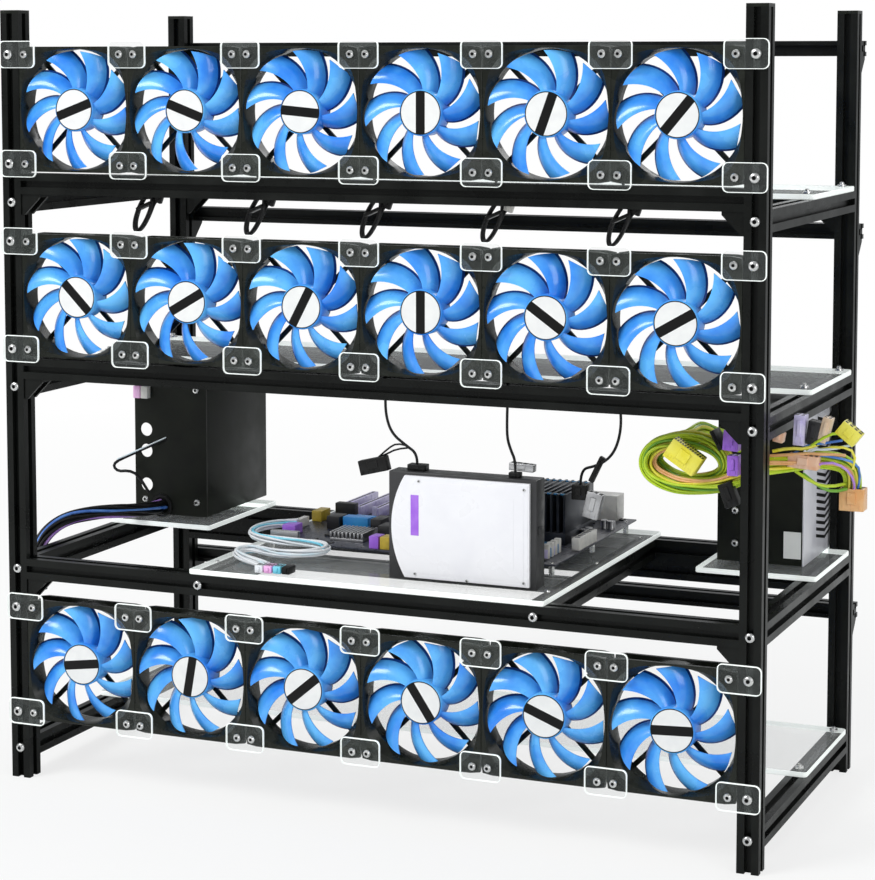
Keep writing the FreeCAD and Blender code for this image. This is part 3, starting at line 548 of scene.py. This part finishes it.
def connector(name, centre, size, turn, material, columns=4, rows=2, replaced=(), tilt=0):
    """A moulded connector: body, latch, raised ribs on its front and contact cells at one end, where shade is
    painted.
    """
    mesh = bmesh.new()
    half = Vector(size) * MM / 2
    box(mesh, -half, half, 0.7 * MM)
    box(mesh, (-0.35 * half.x, -half.y - 1.3 * MM, -0.4 * half.z),
        (0.35 * half.x, 0, 0.7 * half.z), 0.4 * MM, 1)
    pitch, row_pitch = 2 * half.x / columns, 2 * half.y / rows
    for column in range(columns):
        x = -half.x + (column + 0.5) * pitch
        box(mesh, (x - 0.3 * MM, -half.y - 0.4 * MM, -0.85 * half.z), (x + 0.3 * MM, 0, -0.45 * half.z))
        for row in range(rows):
            y = -half.y + (row + 0.5) * row_pitch
            box(mesh, (x - 0.3 * pitch, y - 0.3 * row_pitch, 0), (x + 0.3 * pitch, y + 0.3 * row_pitch,
                                                                 half.z + 0.1 * MM), material=1)
    turns = Matrix.Rotation(math.radians(turn), 4, "Y") @ Matrix.Rotation(math.radians(tilt), 4, "X")
    bmesh.ops.transform(mesh, matrix=Matrix.Translation(spot(*centre)) @ turns, verts=mesh.verts)
    return keep(name, mesh, [material, RECESS_SHADE], replaces=replaced)


def wire_piece(name, wires):
    """Loose wires of one piece: each is its points, its width and its material."""
    mesh = bmesh.new()
    materials = []
    for points, width, material in wires:
        if material not in materials:
            materials.append(material)
        add_wire(mesh, [spot(*point) for point in points], width, materials.index(material))
    return keep(name, mesh, materials, sharp=60)


def build_leads():
    pieces = {"lead_left": [connector("lead_left_plug", (37, 49.5, 329.6), (18, 11, 6), 0, PLUG_BLACK, 4, 1,
                                      ("cable_plugs",)), connector("lead_left_socket", (-6, 46, 329),
                                                                   (29, 9, 14), -14, PLUG_BLACK, 5, 1),
                            wire_piece("lead_left_tails", [([(27, 44, 350), (18, 45, 352), (8, 45, 346),
                                                             (-4, 46, 335)], 1.8, LEAD), ([(30, 45, 348),
                                                                                           (16, 47, 346),
                                                                                           (6, 47, 340),
                                                                                           (-8, 47, 334)], 1.8, LEAD)])],
              "lead_middle": [connector("lead_middle_plug", (134.5, 48, 329.1), (11, 8, 5), 0, PLUG_BLACK,
                                        3, 1, ("cable_plugs",)), connector("lead_middle_end",
                                                                           (140, 52, 336), (24, 9, 7), 3,
                                                                           ALLOY, 4, 1)],
              "lead_right": [connector("lead_right_plug", (185, 84, 311), (14, 12, 14), 0, PLUG_BLACK, 3, 1,
                                       ("cable_plugs",)), connector("lead_right_end", (199, 80, 300),
                                                                    (15, 10, 24), 14, ALLOY, 3, 1),
                             connector("lead_right_clip", (207, 66, 336), (5, 5, 26), 26, PLUG_BLACK, 1,
                                       1)], }
    for name, points in LEADS.items():
        points = [spot(*point) for point in points]
        lead = route_curve("fan_" + name, points, LEAD_WIDTH)
        lead.data.materials.append(LEAD)
        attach(lead, "frame")
        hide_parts(name)
        line_length(followed(points))


def build_hanks():
    for number in range(1, FANS):
        x = (number - FANS / 2) * FAN_SIDE - 2
        points = [(x + 4, 26.5, 603), (x + 7, 28, 590)]
        for turn_x, turn_y, turn_z in oval_turns((x, 562), 6.5, 19, 80, 3.78, 35, 28, 12):
            points.append((turn_x + 0.4 * (turn_z - 562), turn_y, turn_z))
        points += [(x + 10, 34.5, 570), (x + 14, 34, 574)]
        places = [spot(*point) for point in points]
        hank = route_curve("fan_lead_hank_%d" % number, places, LEAD_WIDTH)
        hank.data.materials.append(LEAD)
        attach(hank, "frame")
        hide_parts("lead_hank_%d" % number)
        plug = connector("fan_plug_%d" % number, (x + 15, 33.5, 575), (9, 5, 8), 20,
                         IVORY if number == 4 else PLUG_BLACK, 3, 1)
        tie = connector("fan_tie_%d" % number, (x + 2, 31.5, 568), (17, 11, 3), -24, PLUG_BLACK, 1, 1)
        line_length(followed(places))


def build_supply_bundle():
    points = list(SUPPLY_STEM)
    turns = oval_turns((296, 351), 38, 21, 90, 1.5, 46, 69, 14)
    for step, (x, y, z) in enumerate(turns):
        share = 0.9 + 0.1 * step / len(turns)
        points.append((296 + (x - 296) * share, y, 351 + (z - 351) * share))
    points += [(330, 46, 334), (348, 51, 343)]
    points += SUPPLY_RUN
    line = followed([spot(*point) for point in points])
    lays = [(0, 0, 0)]
    lays += [(2.8, math.tau * k / 6, (0, 1, 0, 2, 0, 1)[k]) for k in range(6)]
    lays += [(5.6, math.tau * k / 12, (0, 1, 0, 0, 2, 0, 1, 0, 4, 1, 0, 2)[k]) for k in range(12)]
    lays += [(7.3, math.tau * k / 5 + 0.3, (0, 1, 0, 4, 0)[k]) for k in range(5)]
    mesh = bmesh.new()
    strands(mesh, line, lays, 2.5)
    bundle = keep("supply_bundle", mesh, [LIME, YELLOW, GREEN, BLUE, ORANGE, PURPLE],
                  replaces=("supply_cable_stem", "supply_cable_coil", "supply_cable_run"), sharp=60)
    plugs = (
        ("run_plug", (436, 97, 320), (22, 16, 20), 0, ORANGE, 3, 2, ("cable_plugs",)),
        ("loop_plug", (300, 33, 359), (32, 15, 19), 33, YELLOW, 12, 2, ("cable_plugs",)),
        ("violet_plug", (341, 40, 375), (14, 12, 18), 4, VIOLET, 3, 2),
        ("violet_end", (343, 40, 353), (10, 12, 18), 0, VIOLET, 2, 2),
        ("tie", (327, 47, 374), (4, 21, 19), -28, PLUG_BLACK, 1, 1),
        ("dark_plug", (338, 44, 326), (13, 11, 22), -22, PLUG_BLACK, 3, 2),
        ("peach_plug", (399, 66, 356), (27, 13, 12), 4, PEACH, 6, 2),
        ("lavender_plug", (394, 72, 383), (10, 14, 27), 2, LAVENDER, 2, 2),
        ("grey_plug", (406, 74, 381), (11, 13, 21), 8, CHIP, 3, 2),
        ("beige_plug", (416, 74, 384), (8, 13, 23), 14, BEIGE, 2, 2),
        ("yellow_plug", (437, 75, 382), (20, 13, 14), 38, YELLOW, 4, 2),
        ("post_plug", (376, 68, 376), (9, 10, 9), 10, PEACH, 2, 2))
    pieces = [connector("supply_" + name, *rest) for name, *rest in plugs]
    pieces.append(wire_piece("supply_wire_ends", [
        ([(384, 66, 358), (398, 70, 370), (414, 68, 372), (432, 70, 376)], 2.4, BLUE),
        ([(390, 64, 352), (404, 66, 368), (420, 70, 366), (440, 72, 372)], 2.4, PALE),
        ([(404, 68, 350), (418, 66, 358), (434, 74, 352), (441, 82, 338), (438, 92, 328)], 2.2, PURPLE),
        ([(400, 70, 362), (424, 66, 362), (446, 76, 356), (444, 88, 336), (440, 94, 328)], 2.2, BLUE),
        ([(410, 72, 366), (428, 68, 372), (446, 72, 366), (440, 76, 350)], 2.4, YELLOW),
        ([(400, 68, 366), (412, 66, 376), (428, 70, 384), (436, 74, 380)], 2.6, LIME),
        ([(398, 66, 345), (412, 66, 334), (424, 76, 328), (432, 88, 330)], 3.0, GREEN),
        ([(392, 64, 347), (408, 62, 337), (422, 74, 333), (430, 90, 334)], 3.0, LIME),
        ([(372, 60, 364), (386, 62, 368), (402, 66, 366), (416, 72, 374)], 3.0, YELLOW),
        ([(370, 58, 360), (388, 60, 362), (410, 64, 364), (434, 74, 362)], 3.0, ORANGE),
        ([(404, 70, 372), (410, 68, 378), (414, 70, 374)], 2.0, PALE)]))


def build_input_bundle():
    line = followed([spot(*point) for point in INPUT_ROUTE])
    mesh = bmesh.new()
    lays = [(0, 0, 0)]
    lays += [(3.0, math.tau * k / 6, 0) for k in range(6)]
    # The violet and blue strands in this black bundle are painted highlights of its sleeve's sheen.
    lays += [(5.8, math.tau * k / 12, (0, 1, 0, 0, 2, 0, 0, 0, 1, 0, 0, 0)[k]) for k in range(12)]
    strands(mesh, line, lays, 3.1, 0.8)
    bundle = keep("input_bundle", mesh, [LEAD, PURPLE, BLUE], sharp=60,
                  replaces=("input_cable",))
    collar = bmesh.new()
    ring = turned([(9.5, 0), (9.5, 3), (11.5, 3), (12.5, 1.6), (12.5, 0), (9.5, 0)], 32)
    put(collar, ring, *INPUT_ROUTE[0], TO_FRONT)
    pieces = [
        connector("input_plug", (-403, 84, 178), (18, 16, 20), 0, PLUG_BLACK, 4, 2, ("cable_plugs",)),
        keep("input_collar", collar, [PLUG_BLACK]),
        wire_piece("spare_supply_lead", [
            ([(-334, 236, 306), (-352, 228, 298), (-372, 222, 288), (-387, 219, 281), (-390, 219, 275),
              (-384, 220, 270), (-372, 222, 272), (-362, 226, 266), (-353, 230, 248)], 3.2, LEAD),
            ([(-334, 236, 308), (-350, 226, 300), (-368, 220, 291), (-384, 217, 284)], 1.6, PALE)]),
    ]


PANEL_ROUTE = [(-138, 152, 246), (-158, 152, 244), (-174, 128, 242), (-166, 100, 240), (-130, 92, 239),
               (-88, 100, 238), (-70, 84, 237), (-80, 60, 236), (-115, 56, 234), (-150, 74, 234),
               (-160, 54, 233), (-138, 34, 232), (-114, 24, 231), (-104, 16, 231)]


def build_panel_wires():
    line = followed([spot(*point) for point in PANEL_ROUTE])
    mesh = bmesh.new()
    lays = [(0, 0, 0)] + [(3.2, math.tau * k / 7, (0, 1, 0, 0, 2, 0, 0)[k]) for k in range(7)]
    strands(mesh, line, lays, 2.3)
    wires = keep("panel_wires", mesh, [WHITE_WIRE, CYAN, PALE], sharp=60)
    pieces = [connector("panel_plug_%d" % number, (-108 + 9 * number, 12 + number, 229.6), (8, 14, 7), 0,
                        material, 3, 1)
              for number, material in enumerate((WHITE_WIRE, PINK, CYAN, PLUG_BLACK))]


build_leads()
build_hanks()
build_supply_bundle()
build_input_bundle()
build_panel_wires()


# Fans

BLADES = 9
HUB_RADIUS = 20.5
TIP_RADIUS = 55.9
STRIPE_HALF = 4.4


def blade_place(along, across):
    """A point of the blade's middle surface: along from root to tip, across from leading to trailing edge."""
    radius = HUB_RADIUS - 1.2 + (TIP_RADIUS - HUB_RADIUS + 1.2) * along
    lead = 76 + 27 * along ** 1.1
    trail = 48.5 + 31 * along ** 1.2
    angle = math.radians(lead + (trail - lead) * across)
    depth_lead = 5.4 - 1.4 * along
    depth_trail = 18.0 - 1.6 * along
    camber = 0.9 * math.sin(math.pi * across) * (0.5 + 0.5 * along)
    depth = depth_lead + (depth_trail - depth_lead) * across ** 1.75 - camber
    return Vector((radius * math.cos(angle), depth, radius * math.sin(angle))) * MM


def rotor_template():
    mesh = bmesh.new()
    bmesh.ops.create_grid(mesh, x_segments=10, y_segments=10, size=1)
    # Faces along the trailing edge take the fourth material, painted shade.
    for face in mesh.faces:
        if face.calc_center_median().y > 0.8:
            face.material_index = 3
    for vert in mesh.verts:
        vert.co = blade_place((vert.co.x + 1) / 2, (vert.co.y + 1) / 2)
    bmesh.ops.recalc_face_normals(mesh, faces=mesh.faces)
    bmesh.ops.solidify(mesh, geom=mesh.faces[:], thickness=1.5 * MM)
    blade = mesh.verts[:] + mesh.edges[:] + mesh.faces[:]
    bmesh.ops.spin(mesh, geom=blade, cent=(0, 0, 0), axis=(0, 1, 0), use_duplicate=True,
                   angle=math.radians(360 / BLADES * (BLADES - 1)), steps=BLADES - 1)
    hub = turned([(0, -21.4), (19.5, -21.4), (21.0, -20.6), (21.0, -2.8), (20.6, -1.8), (19.9, -1.2),
                  (19.7, -1.4), (0, -1.4)], 48)
    stamp(mesh, hub, TO_FRONT)
    first = len(mesh.faces)
    stamp(mesh, turned([(18.9, -1.2), (19.7, -1.2), (19.7, -1.4), (18.9, -1.4), (18.9, -1.2)], 48), TO_FRONT)
    mesh.faces.ensure_lookup_table()
    paint(mesh.faces[first:], 2)
    disc = turned([(0, -1.15), (18.8, -1.15), (18.9, -1.4), (0, -1.4)], 48)
    first = len(mesh.faces)
    stamp(mesh, disc, TO_FRONT)
    mesh.faces.ensure_lookup_table()
    label = mesh.faces[first:]
    paint(label, 1)
    for side in (-1, 1):
        geometry = {piece for face in mesh.faces if face.material_index == 1
                    for piece in (face, *face.edges, *face.verts)}
        bmesh.ops.bisect_plane(mesh, geom=list(geometry), plane_co=(0, 0, side * STRIPE_HALF * MM),
                               plane_no=(0, 0, 1), dist=1e-7)
    for face in mesh.faces:
        if face.material_index == 1 and abs(face.calc_center_median().z) < STRIPE_HALF * MM:
            face.material_index = 2
    return template(mesh)


STRIPE_TURNS = {"top": (20, -20, -5, 90, 70, 50), "middle": (-45, 30, 62, 90, -35, 30),
                "bottom": (8, 80, 40, -56, -21, 3)}


def build_rotors():
    shape = rotor_template()
    for row in ROWS:
        for number in range(1, FANS + 1):
            fan = "%s_%d" % (row, number)
            mesh = bmesh.new()
            turn = Matrix.Rotation(math.radians(-STRIPE_TURNS[row][number - 1]), 4, "Y")
            put(mesh, shape, fan_x(number), 0, row_z(row), turn)
            keep("rotor_" + fan, mesh, [BLADE, LABEL, STRIPE, BLADE_TRAILING_SHADE], body="fan_" + fan,
                 replaces=("fan_rotor_" + fan,), sharp=40)


RING_STEPS = 64


def square_loop(mesh, square, corner, depth):
    """A closed loop of the housing: a square, given by its half width, with round corners."""
    made = bmesh.ops.create_circle(mesh, segments=RING_STEPS, radius=1)["verts"]
    inner = square - corner
    for vert in made:
        angle = math.atan2(vert.co.y, vert.co.x)
        across, up = math.cos(angle), math.sin(angle)
        reach = 1 / max(abs(across), abs(up))
        flat = Vector((across * reach * square, up * reach * square))
        core = Vector((max(-inner, min(inner, flat.x)), max(-inner, min(inner, flat.y))))
        out = flat - core
        boxed = core + (out.normalized() * corner if out.length > corner else out)
        vert.co = Vector((boxed.x, depth, boxed.y)) * MM
    return list({edge for vert in made for edge in vert.link_edges})


def flare_loop(mesh, circle, bulge, depth):
    """A circle that reaches out towards the housing's four corners."""
    made = bmesh.ops.create_circle(mesh, segments=RING_STEPS, radius=1)["verts"]
    for vert in made:
        angle = math.atan2(vert.co.y, vert.co.x)
        radius = circle + bulge * abs(math.sin(2 * angle)) ** 3
        vert.co = Vector((radius * math.cos(angle), depth, radius * math.sin(angle))) * MM
    return list({edge for vert in made for edge in vert.link_edges})


def housing_template():
    mesh = bmesh.new()
    half = FAN_SIDE / 2
    loops = [flare_loop(mesh, *sizes) for sizes in (
        (58.2, 7.5, 0.0), (57.6, 5.5, 2.5), (57.5, 0, 8.0), (57.5, 0, 22.0), (58.2, 3.0, 25.0))]
    loops += [square_loop(mesh, *sizes) for sizes in (
        (half - 0.6, 4.4, 25.0), (half, 5.0, 24.4), (half, 5.0, 20.8))]
    loops += [flare_loop(mesh, *sizes) for sizes in ((59.3, 1.5, 20.4), (59.3, 1.5, 4.6))]
    loops += [square_loop(mesh, *sizes) for sizes in (
        (half, 5.0, 4.2), (half, 5.0, 0.6), (half - 0.6, 4.4, 0.0))]
    for before, after in zip(loops, loops[1:] + loops[:1]):
        bmesh.ops.bridge_loops(mesh, edges=before + after)
    bmesh.ops.recalc_face_normals(mesh, faces=mesh.faces)
    post = turned([(0, 0.3), (4.3, 0.3), (4.3, 24.7), (0, 24.7)], 14)
    # The nut's centre takes the second material, painted shade in its hole.
    nut = turned([(0, 24.9), (1.5, 24.9), (1.7, 25.0), (3.6, 25.0), (3.6, 24.5), (0, 24.5)], 14, 1.6)
    for x in (-1, 1):
        for z in (-1, 1):
            corner = Vector((x * FAN_HOLES / 2 * MM, 0, z * FAN_HOLES / 2 * MM))
            stamp(mesh, post, Matrix.Translation(corner) @ TO_BACK)
            stamp(mesh, nut, Matrix.Translation(corner) @ TO_BACK)
    base = turned([(0, 22.0), (19.6, 22.0), (20.0, 22.4), (20.0, 24.3), (19.3, 25.0), (15.5, 25.0),
                   (15.0, 24.4), (0, 24.4)], 36)
    stamp(mesh, base, TO_BACK)
    strut = bmesh.new()
    box(strut, Vector((18, 22.2, -2.4)) * MM, Vector((58.4, 24.9, 2.4)) * MM, 0.7 * MM)
    strut = template(strut)
    for turn in (45, 135, 225, 315):
        stamp(mesh, strut, Matrix.Rotation(math.radians(turn), 4, "Y"))
    return template(mesh)


def build_housings():
    shape = housing_template()
    for row in ROWS:
        mesh = bmesh.new()
        for number in range(1, FANS + 1):
            put(mesh, shape, fan_x(number), 0, row_z(row))
        keep("housings_" + row, mesh, [HOUSING, RECESS_SHADE],
             replaces=("fan_frames_" + row,))


build_rotors()
build_housings()


# Clear plates and their screws

PLATE_WIDE, PLATE_TALL, PLATE_THICK = 40.0, 26.0, 3.0
END_PLATE_X = (POST_X + fan_x(FANS) + FAN_HOLES / 2) / 2


def build_link_plates():
    plates, screws = bmesh.new(), bmesh.new()
    for row in ROWS:
        for edge in (-1, 1):
            z = row_z(row) + edge * FAN_HOLES / 2
            middles = [(number - FANS / 2) * FAN_SIDE for number in range(1, FANS)]
            for x in middles + [-END_PLATE_X, END_PLATE_X]:
                sheet_plate(plates, spot(x - PLATE_WIDE / 2, -PLATE_THICK, z - PLATE_TALL / 2),
                            spot(x + PLATE_WIDE / 2, 0, z + PLATE_TALL / 2), 5.0, 1)
            for number in range(1, FANS + 1):
                for side in (-1, 1):
                    x = fan_x(number) + side * FAN_HOLES / 2
                    turn = Matrix.Rotation(random.uniform(0, 6), 4, "Z")
                    put(screws, SCREW, x, -PLATE_THICK, z, TO_FRONT @ turn)
    keep("link_plates_clear", plates, [ACRYLIC_THIN, ACRYLIC_EDGE_HIGHLIGHT],
         replaces=("link_plates",))
    keep_screws("fan_screws", screws)


def build_shelves():
    mesh, nuts = bmesh.new(), bmesh.new()
    for level in SHELF_LEVELS:
        low, top = level + BEAM_HALF, level + BEAM_HALF + SHEET
        sheet_plate(mesh, spot(-380, 167.7, low), spot(380, SHELF_BACK, top), 4.0, 2)
        for x in (-POST_X, POST_X):
            for y in (180, 317):
                put(nuts, THUMB_NUT, x, y, top)
    low = TRAY_TOP - SHEET
    for side in (-1, 1):
        edges = sorted((side * 380, side * 262))
        inner = sorted((side * 359.7, side * 262))
        sheet_plate(mesh, spot(edges[0], 195, low), spot(edges[1], SHELF_BACK, TRAY_TOP), 3.0, 2)
        sheet_plate(mesh, spot(inner[0], SHELF_BACK, low), spot(inner[1], FRAME_DEPTH, TRAY_TOP), 1.0, 2)
    keep("clear_shelf_plates", mesh, [ACRYLIC, ACRYLIC_EDGE_HIGHLIGHT],
         replaces=("clear_shelves",))
    keep("shelf_nuts", nuts, [STEEL, STEEL])
    tray, feet = bmesh.new(), bmesh.new()
    sheet_plate(tray, spot(-TRAY_HALF, 0, low), spot(TRAY_HALF, FRAME_DEPTH, TRAY_TOP), 3.0, 2, 0.8)
    for x in (-TRAY_SCREW_X, TRAY_SCREW_X):
        for y in (40, 175, 310):
            put(feet, SMALL_SCREW, x, y, TRAY_TOP)
    keep("board_tray_clear", tray, [ACRYLIC, ACRYLIC_EDGE_HIGHLIGHT], replaces=("board_tray",))
    keep_screws("tray_screws", feet)


def build_bolts():
    mesh = bmesh.new()
    for side in (-1, 1):
        x = side * POST_X
        for level in SIDE_LEVELS:
            put(mesh, BOLT, x, 0, level, TO_FRONT)
            put(mesh, BOLT, x, FRAME_DEPTH, level, TO_BACK)
        for row in ROWS:
            for edge in (-1, 1):
                put(mesh, BOLT, x, -PLATE_THICK, row_z(row) + edge * FAN_HOLES / 2, TO_FRONT)
        put(mesh, BOLT, side * TRAY_SCREW_X, 0, TRAY_LEVEL, TO_FRONT)
    keep_screws("frame_bolt_heads", mesh, ("frame_bolts",))


build_link_plates()
build_shelves()
build_bolts()


# Board, disk and supplies

def build_board():
    mesh = bmesh.new()
    block(mesh, BOARD_LEFT, BOARD_FRONT, TRAY_TOP + 10, BOARD_WIDE, BOARD_DEEP, 1.6, 0.3)
    for _ in range(60):
        x, y = random.uniform(-144, 145), random.uniform(106, 336)
        wide, deep, tall = random.uniform(2, 9), random.uniform(2, 9), random.uniform(0.8, 2.5)
        block(mesh, x, y, BOARD_TOP - 0.1, wide, deep, tall, 0.2, 1, 1)
    keep("main_board_dressed", mesh, [BOARD, CHIP], replaces=("main_board",))
    cans = bmesh.new()
    can = turned([(0, 8.2), (1.0, 8.3), (3.6, 8.3), (4.0, 7.8), (3.8, 1.2), (4.0, 0.8), (4.0, 0), (0, 0)], 16)
    for _ in range(26):
        x = random.choice((random.uniform(35, 48), random.uniform(136, 150), random.uniform(-30, 120)))
        y = random.uniform(180, 300) if x < 50 or x > 134 else random.uniform(275, 300)
        put(cans, can, x, y, BOARD_TOP)
    keep("board_capacitors", cans, [ALLOY])


def build_slots():
    mesh = bmesh.new()
    # The strips of the second material along the slots' tops are painted shade in their grooves.
    for number in range(6):
        x = -138 + 20.32 * number
        block(mesh, x, 242, BOARD_TOP, 7.5, 90, 11, 0.6, 0)
        block(mesh, x + 2.9, 244, BOARD_TOP + 10.6, 1.7, 86, 0.6, 0.1, 1)
        block(mesh, x + 1.2, 238, BOARD_TOP, 5, 4.5, 13, 0.5, 0)
    for number in range(4):
        y = 122 + number * 10
        block(mesh, 5, y, BOARD_TOP, 134, 6.5, 9, 0.6, number % 2 * 2)
        block(mesh, 7, y + 2.4, BOARD_TOP + 8.7, 130, 1.6, 0.5, 0.1, 1)
        for x in (4, 134):
            block(mesh, x, y + 0.6, BOARD_TOP, 6, 5.3, 14, 0.8, 3)
    keep("board_slot_rows", mesh, [LAVENDER, RECESS_SHADE, TEAL, IVORY],
         replaces=("board_slots",))


def build_sockets():
    mesh = bmesh.new()
    # Left, front, foot above the board, length, depth, height, edge and material of each.
    sockets = [
        (10, 326, 0, 24, 22, 28, 0.5, 0), (36, 326, 0, 16, 22, 24, 0.5, 1), (54, 326, 0, 18, 22, 28, 0.5, 2),
        (74, 326, 0, 30, 22, 16, 0.5, 0), (106, 326, 0, 34, 22, 26, 0.5, 3), (146, 170, 0, 8, 52, 12, 0.5, 3)]
    sockets += [(147.5, 174 + number * 8, 11, 5, 5, 1.2, 0.3, 4) for number in range(6)]
    sockets += [(-149, 160, 0, 6, 28, 9, 0.4, 3), (-147, 108, 0, 30, 6, 9, 0.4, 0),
                (-149, 206, 0, 11, 22, 11, 0.6, 5), (-146, 132, 0, 14, 18, 10, 0.6, 2),
                (-118, 176, 0, 14, 20, 13, 0.8, 4), (-102, 180, 0, 28, 14, 13, 0.8, 6),
                (-98, 198, 0, 22, 8, 11, 0.8, 6), (-66, 168, 0, 12, 24, 15, 0.8, 4),
                (-50, 150, 0, 20, 20, 13, 0.8, 4), (-132, 226, 0, 22, 10, 17, 0.8, 4)]
    sockets += [(-38 + number * 11.5, 103, 0, 10, 16, 12, 0.5, (2, 5, 2)[number]) for number in range(3)]
    for x, y, lift, *rest in sockets:
        block(mesh, x, y, BOARD_TOP + lift, *rest)
    keep("board_socket_set", mesh, [ALLOY, TEAL, VIOLET, IVORY, CHIP, GOLD, BRIGHT_BLUE],
         replaces=("board_sockets",))
    sink = bmesh.new()
    block(sink, -90, 124, BOARD_TOP, 36, 36, 3, 0.4, 0)
    for number in range(9):
        block(sink, -90 + number * 4.2, 124, BOARD_TOP + 2.8, 2.2, 36, 6.2, 0.3, 0)
    keep("chip_heatsink", sink, [ALLOY])


def build_cooler():
    mesh = bmesh.new()
    block(mesh, 49, 188, BOARD_TOP, 84, 84, 12, 0.8)
    for number in range(13):
        block(mesh, 49 + number * 6.8, 188, BOARD_TOP + 11.5, 2.4, 84, 38.5, 0.4)
    for y in (192, 264):
        block(mesh, 51, y, BOARD_TOP + 48.5, 80, 3, 1.4, 0.3, 1)
    keep("cooler_fins", mesh, [FIN, TEAL], replaces=("board_cooler",))


def build_standoffs():
    mesh = bmesh.new()
    pillar = turned([(0, 10), (2.6, 10), (2.9, 9.7), (2.9, 0.3), (2.6, 0), (0, 0)], 6)
    for across in (0.02, 0.5, 0.98):
        for back in (0.025, 0.5, 0.93):
            x, y = BOARD_LEFT + across * BOARD_WIDE, BOARD_FRONT + back * BOARD_DEEP
            put(mesh, pillar, x, y, TRAY_TOP)
            put(mesh, SMALL_SCREW, x, y, BOARD_TOP)
    keep_screws("standoff_set", mesh, ("board_standoffs",))


COVER_POINTS = 28
COVER_BOW = 92.0


def slab(mesh, outline, back, front, axis=1):
    """A flat prism: its outline as pairs across the given axis, and its back and front along it."""
    rings = []
    for level in (back, front):
        rings.append([mesh.verts.new((pair[0], level, pair[1]) if axis == 1 else (level, *pair))
                      for pair in outline])
    made = [mesh.faces.new(rings[0]), mesh.faces.new(rings[1][::-1])]
    for near, far, next_far, next_near in zip(rings[0], rings[1], rings[1][1:] + rings[1][:1],
                                              rings[0][1:] + rings[0][:1]):
        made.append(mesh.faces.new((near, far, next_far, next_near)))
    bmesh.ops.recalc_face_normals(mesh, faces=made)


def cover_outline(low, high, inward):
    """The disk cover's outline, drawn in by a width: a bowed left end and three straight sides."""
    mid_z = (low.z + high.z) / 2
    half = (high.z - low.z) / 2 - inward * MM
    radius = (COVER_BOW - inward) * MM
    reach = math.asin(half / radius)
    places = [(high.x - inward * MM, mid_z + half), (high.x - inward * MM, mid_z - half)]
    for step in range(COVER_POINTS - 2):
        angle = -reach + 2 * reach * step / (COVER_POINTS - 3)
        places.append((low.x + COVER_BOW * MM - radius * math.cos(angle), mid_z + radius * math.sin(angle)))
    return places


def build_disk():
    mesh = bmesh.new()
    block(mesh, 12, 38, TRAY_TOP, 147, 22, DISK_TALL, 1.2, 0)
    block(mesh, 157.8, 42, 276, 3.2, 10, 7, 0.6, 0)
    plug = turned([(0, 0.2), (2.2, 0.2), (2.4, 0), (0, 0)], 16)
    for x in (30, 85, 140):
        put(mesh, plug, x, 49, TRAY_TOP + DISK_TALL)
    keep("disk_casting_body", mesh, [DISK_DARK], replaces=("disk_body",))
    cover = bmesh.new()
    low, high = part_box("disk_cover")
    for inward, back, front in ((0, 0, 3.3), (1.2, 3.2, 3.6), (5, 3.5, 3.85), (15, 3.8, 4.0)):
        slab(cover, cover_outline(low, high, inward), high.y - back * MM, high.y - front * MM)
    keep("disk_cover_plate", cover, [DISK_COVER], replaces=("disk_cover",), sharp=20)
    print_mesh = bmesh.new()
    block(print_mesh, 36, 33.75, 268, 8, 0.5, 38, 0.05, 0, 1)
    keep("disk_stripe", print_mesh, [VIOLET])
    screws = bmesh.new()
    for x, z in ((40, 232), (148, 232), (148, 318), (44, 319), (92, 229.5)):
        put(screws, SMALL_SCREW, x, 34.1, z, TO_FRONT @ Matrix.Scale(0.7, 4))
    keep_screws("disk_screws", screws)


def build_supplies():
    case = bmesh.new()
    block(case, 272, SUPPLY_FRONT, TRAY_TOP, 84, 140, SUPPLY_TALL, 1.0)
    block(case, 274, SUPPLY_FACE, TRAY_TOP + 2, 80, 0.8, 146, 0.3)
    keep("right_supply_case", case, [SUPPLY], replaces=("right_supply",))
    screws = bmesh.new()
    for z in (243, 275):
        put(screws, SCREW, 290, SUPPLY_FACE, z, TO_FRONT)
    for x in (-360, -298):
        for z in (240, 360):
            put(screws, SCREW, x, SUPPLY_FRONT, z, TO_FRONT)
    keep_screws("supply_screws", screws)
    panel = bmesh.new()
    box(panel, *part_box("right_supply_panel"), 0.4 * MM, 1)
    keep("right_supply_side", panel, [PANEL], replaces=("right_supply_panel",))
    vents = bmesh.new()
    # The chevron slots are dark sheets: painted shade in the panel's openings.
    chevron = ((282, 7), (316, 0), (350, 7), (350, 10.2), (316, 3.2), (282, 10.2))
    for number in range(18):
        z = 238 + 6.8 * number
        slab(vents, [spot(0, y, z + rise).yz for y, rise in chevron], 357.9 * MM, 358.15 * MM, 0)
    keep("right_supply_vents", vents, [RECESS_SHADE])
    sticker = bmesh.new()
    block(sticker, 338, 234.3, 232, 17, 0.4, 26, 0.1, 0, 1)
    keep("supply_blank_sticker", sticker, [LABEL])
    left = bmesh.new()
    block(left, -348, 237, TRAY_TOP, 62, 138, SUPPLY_TALL, 1.0)
    keep("left_supply_case", left, [SUPPLY], replaces=("left_supply",))
    socket = bmesh.new()
    block(socket, -370, 228, 349, 8, 8, 13, 0.6, 0)
    block(socket, -361, 228, 349, 8, 8, 13, 0.6, 1)
    keep("left_supply_socket", socket, [PINK, IVORY])


build_board()
build_slots()
build_sockets()
build_cooler()
build_standoffs()
build_disk()
build_supplies()


# CAD nodes that show as they are

for names, material in (
        (("post_front_left", "post_front_right", "post_rear_left", "post_rear_right", "front_beams",
          "rear_beams", "side_beams", "tray_beams", "gpu_rails", "corner_brackets"), ANODISED),
        (("post_caps",), HOUSING), (("left_supply_plate",), SUPPLY)):
    for name in names:
        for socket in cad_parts[name].material_slots:
            socket.material = material
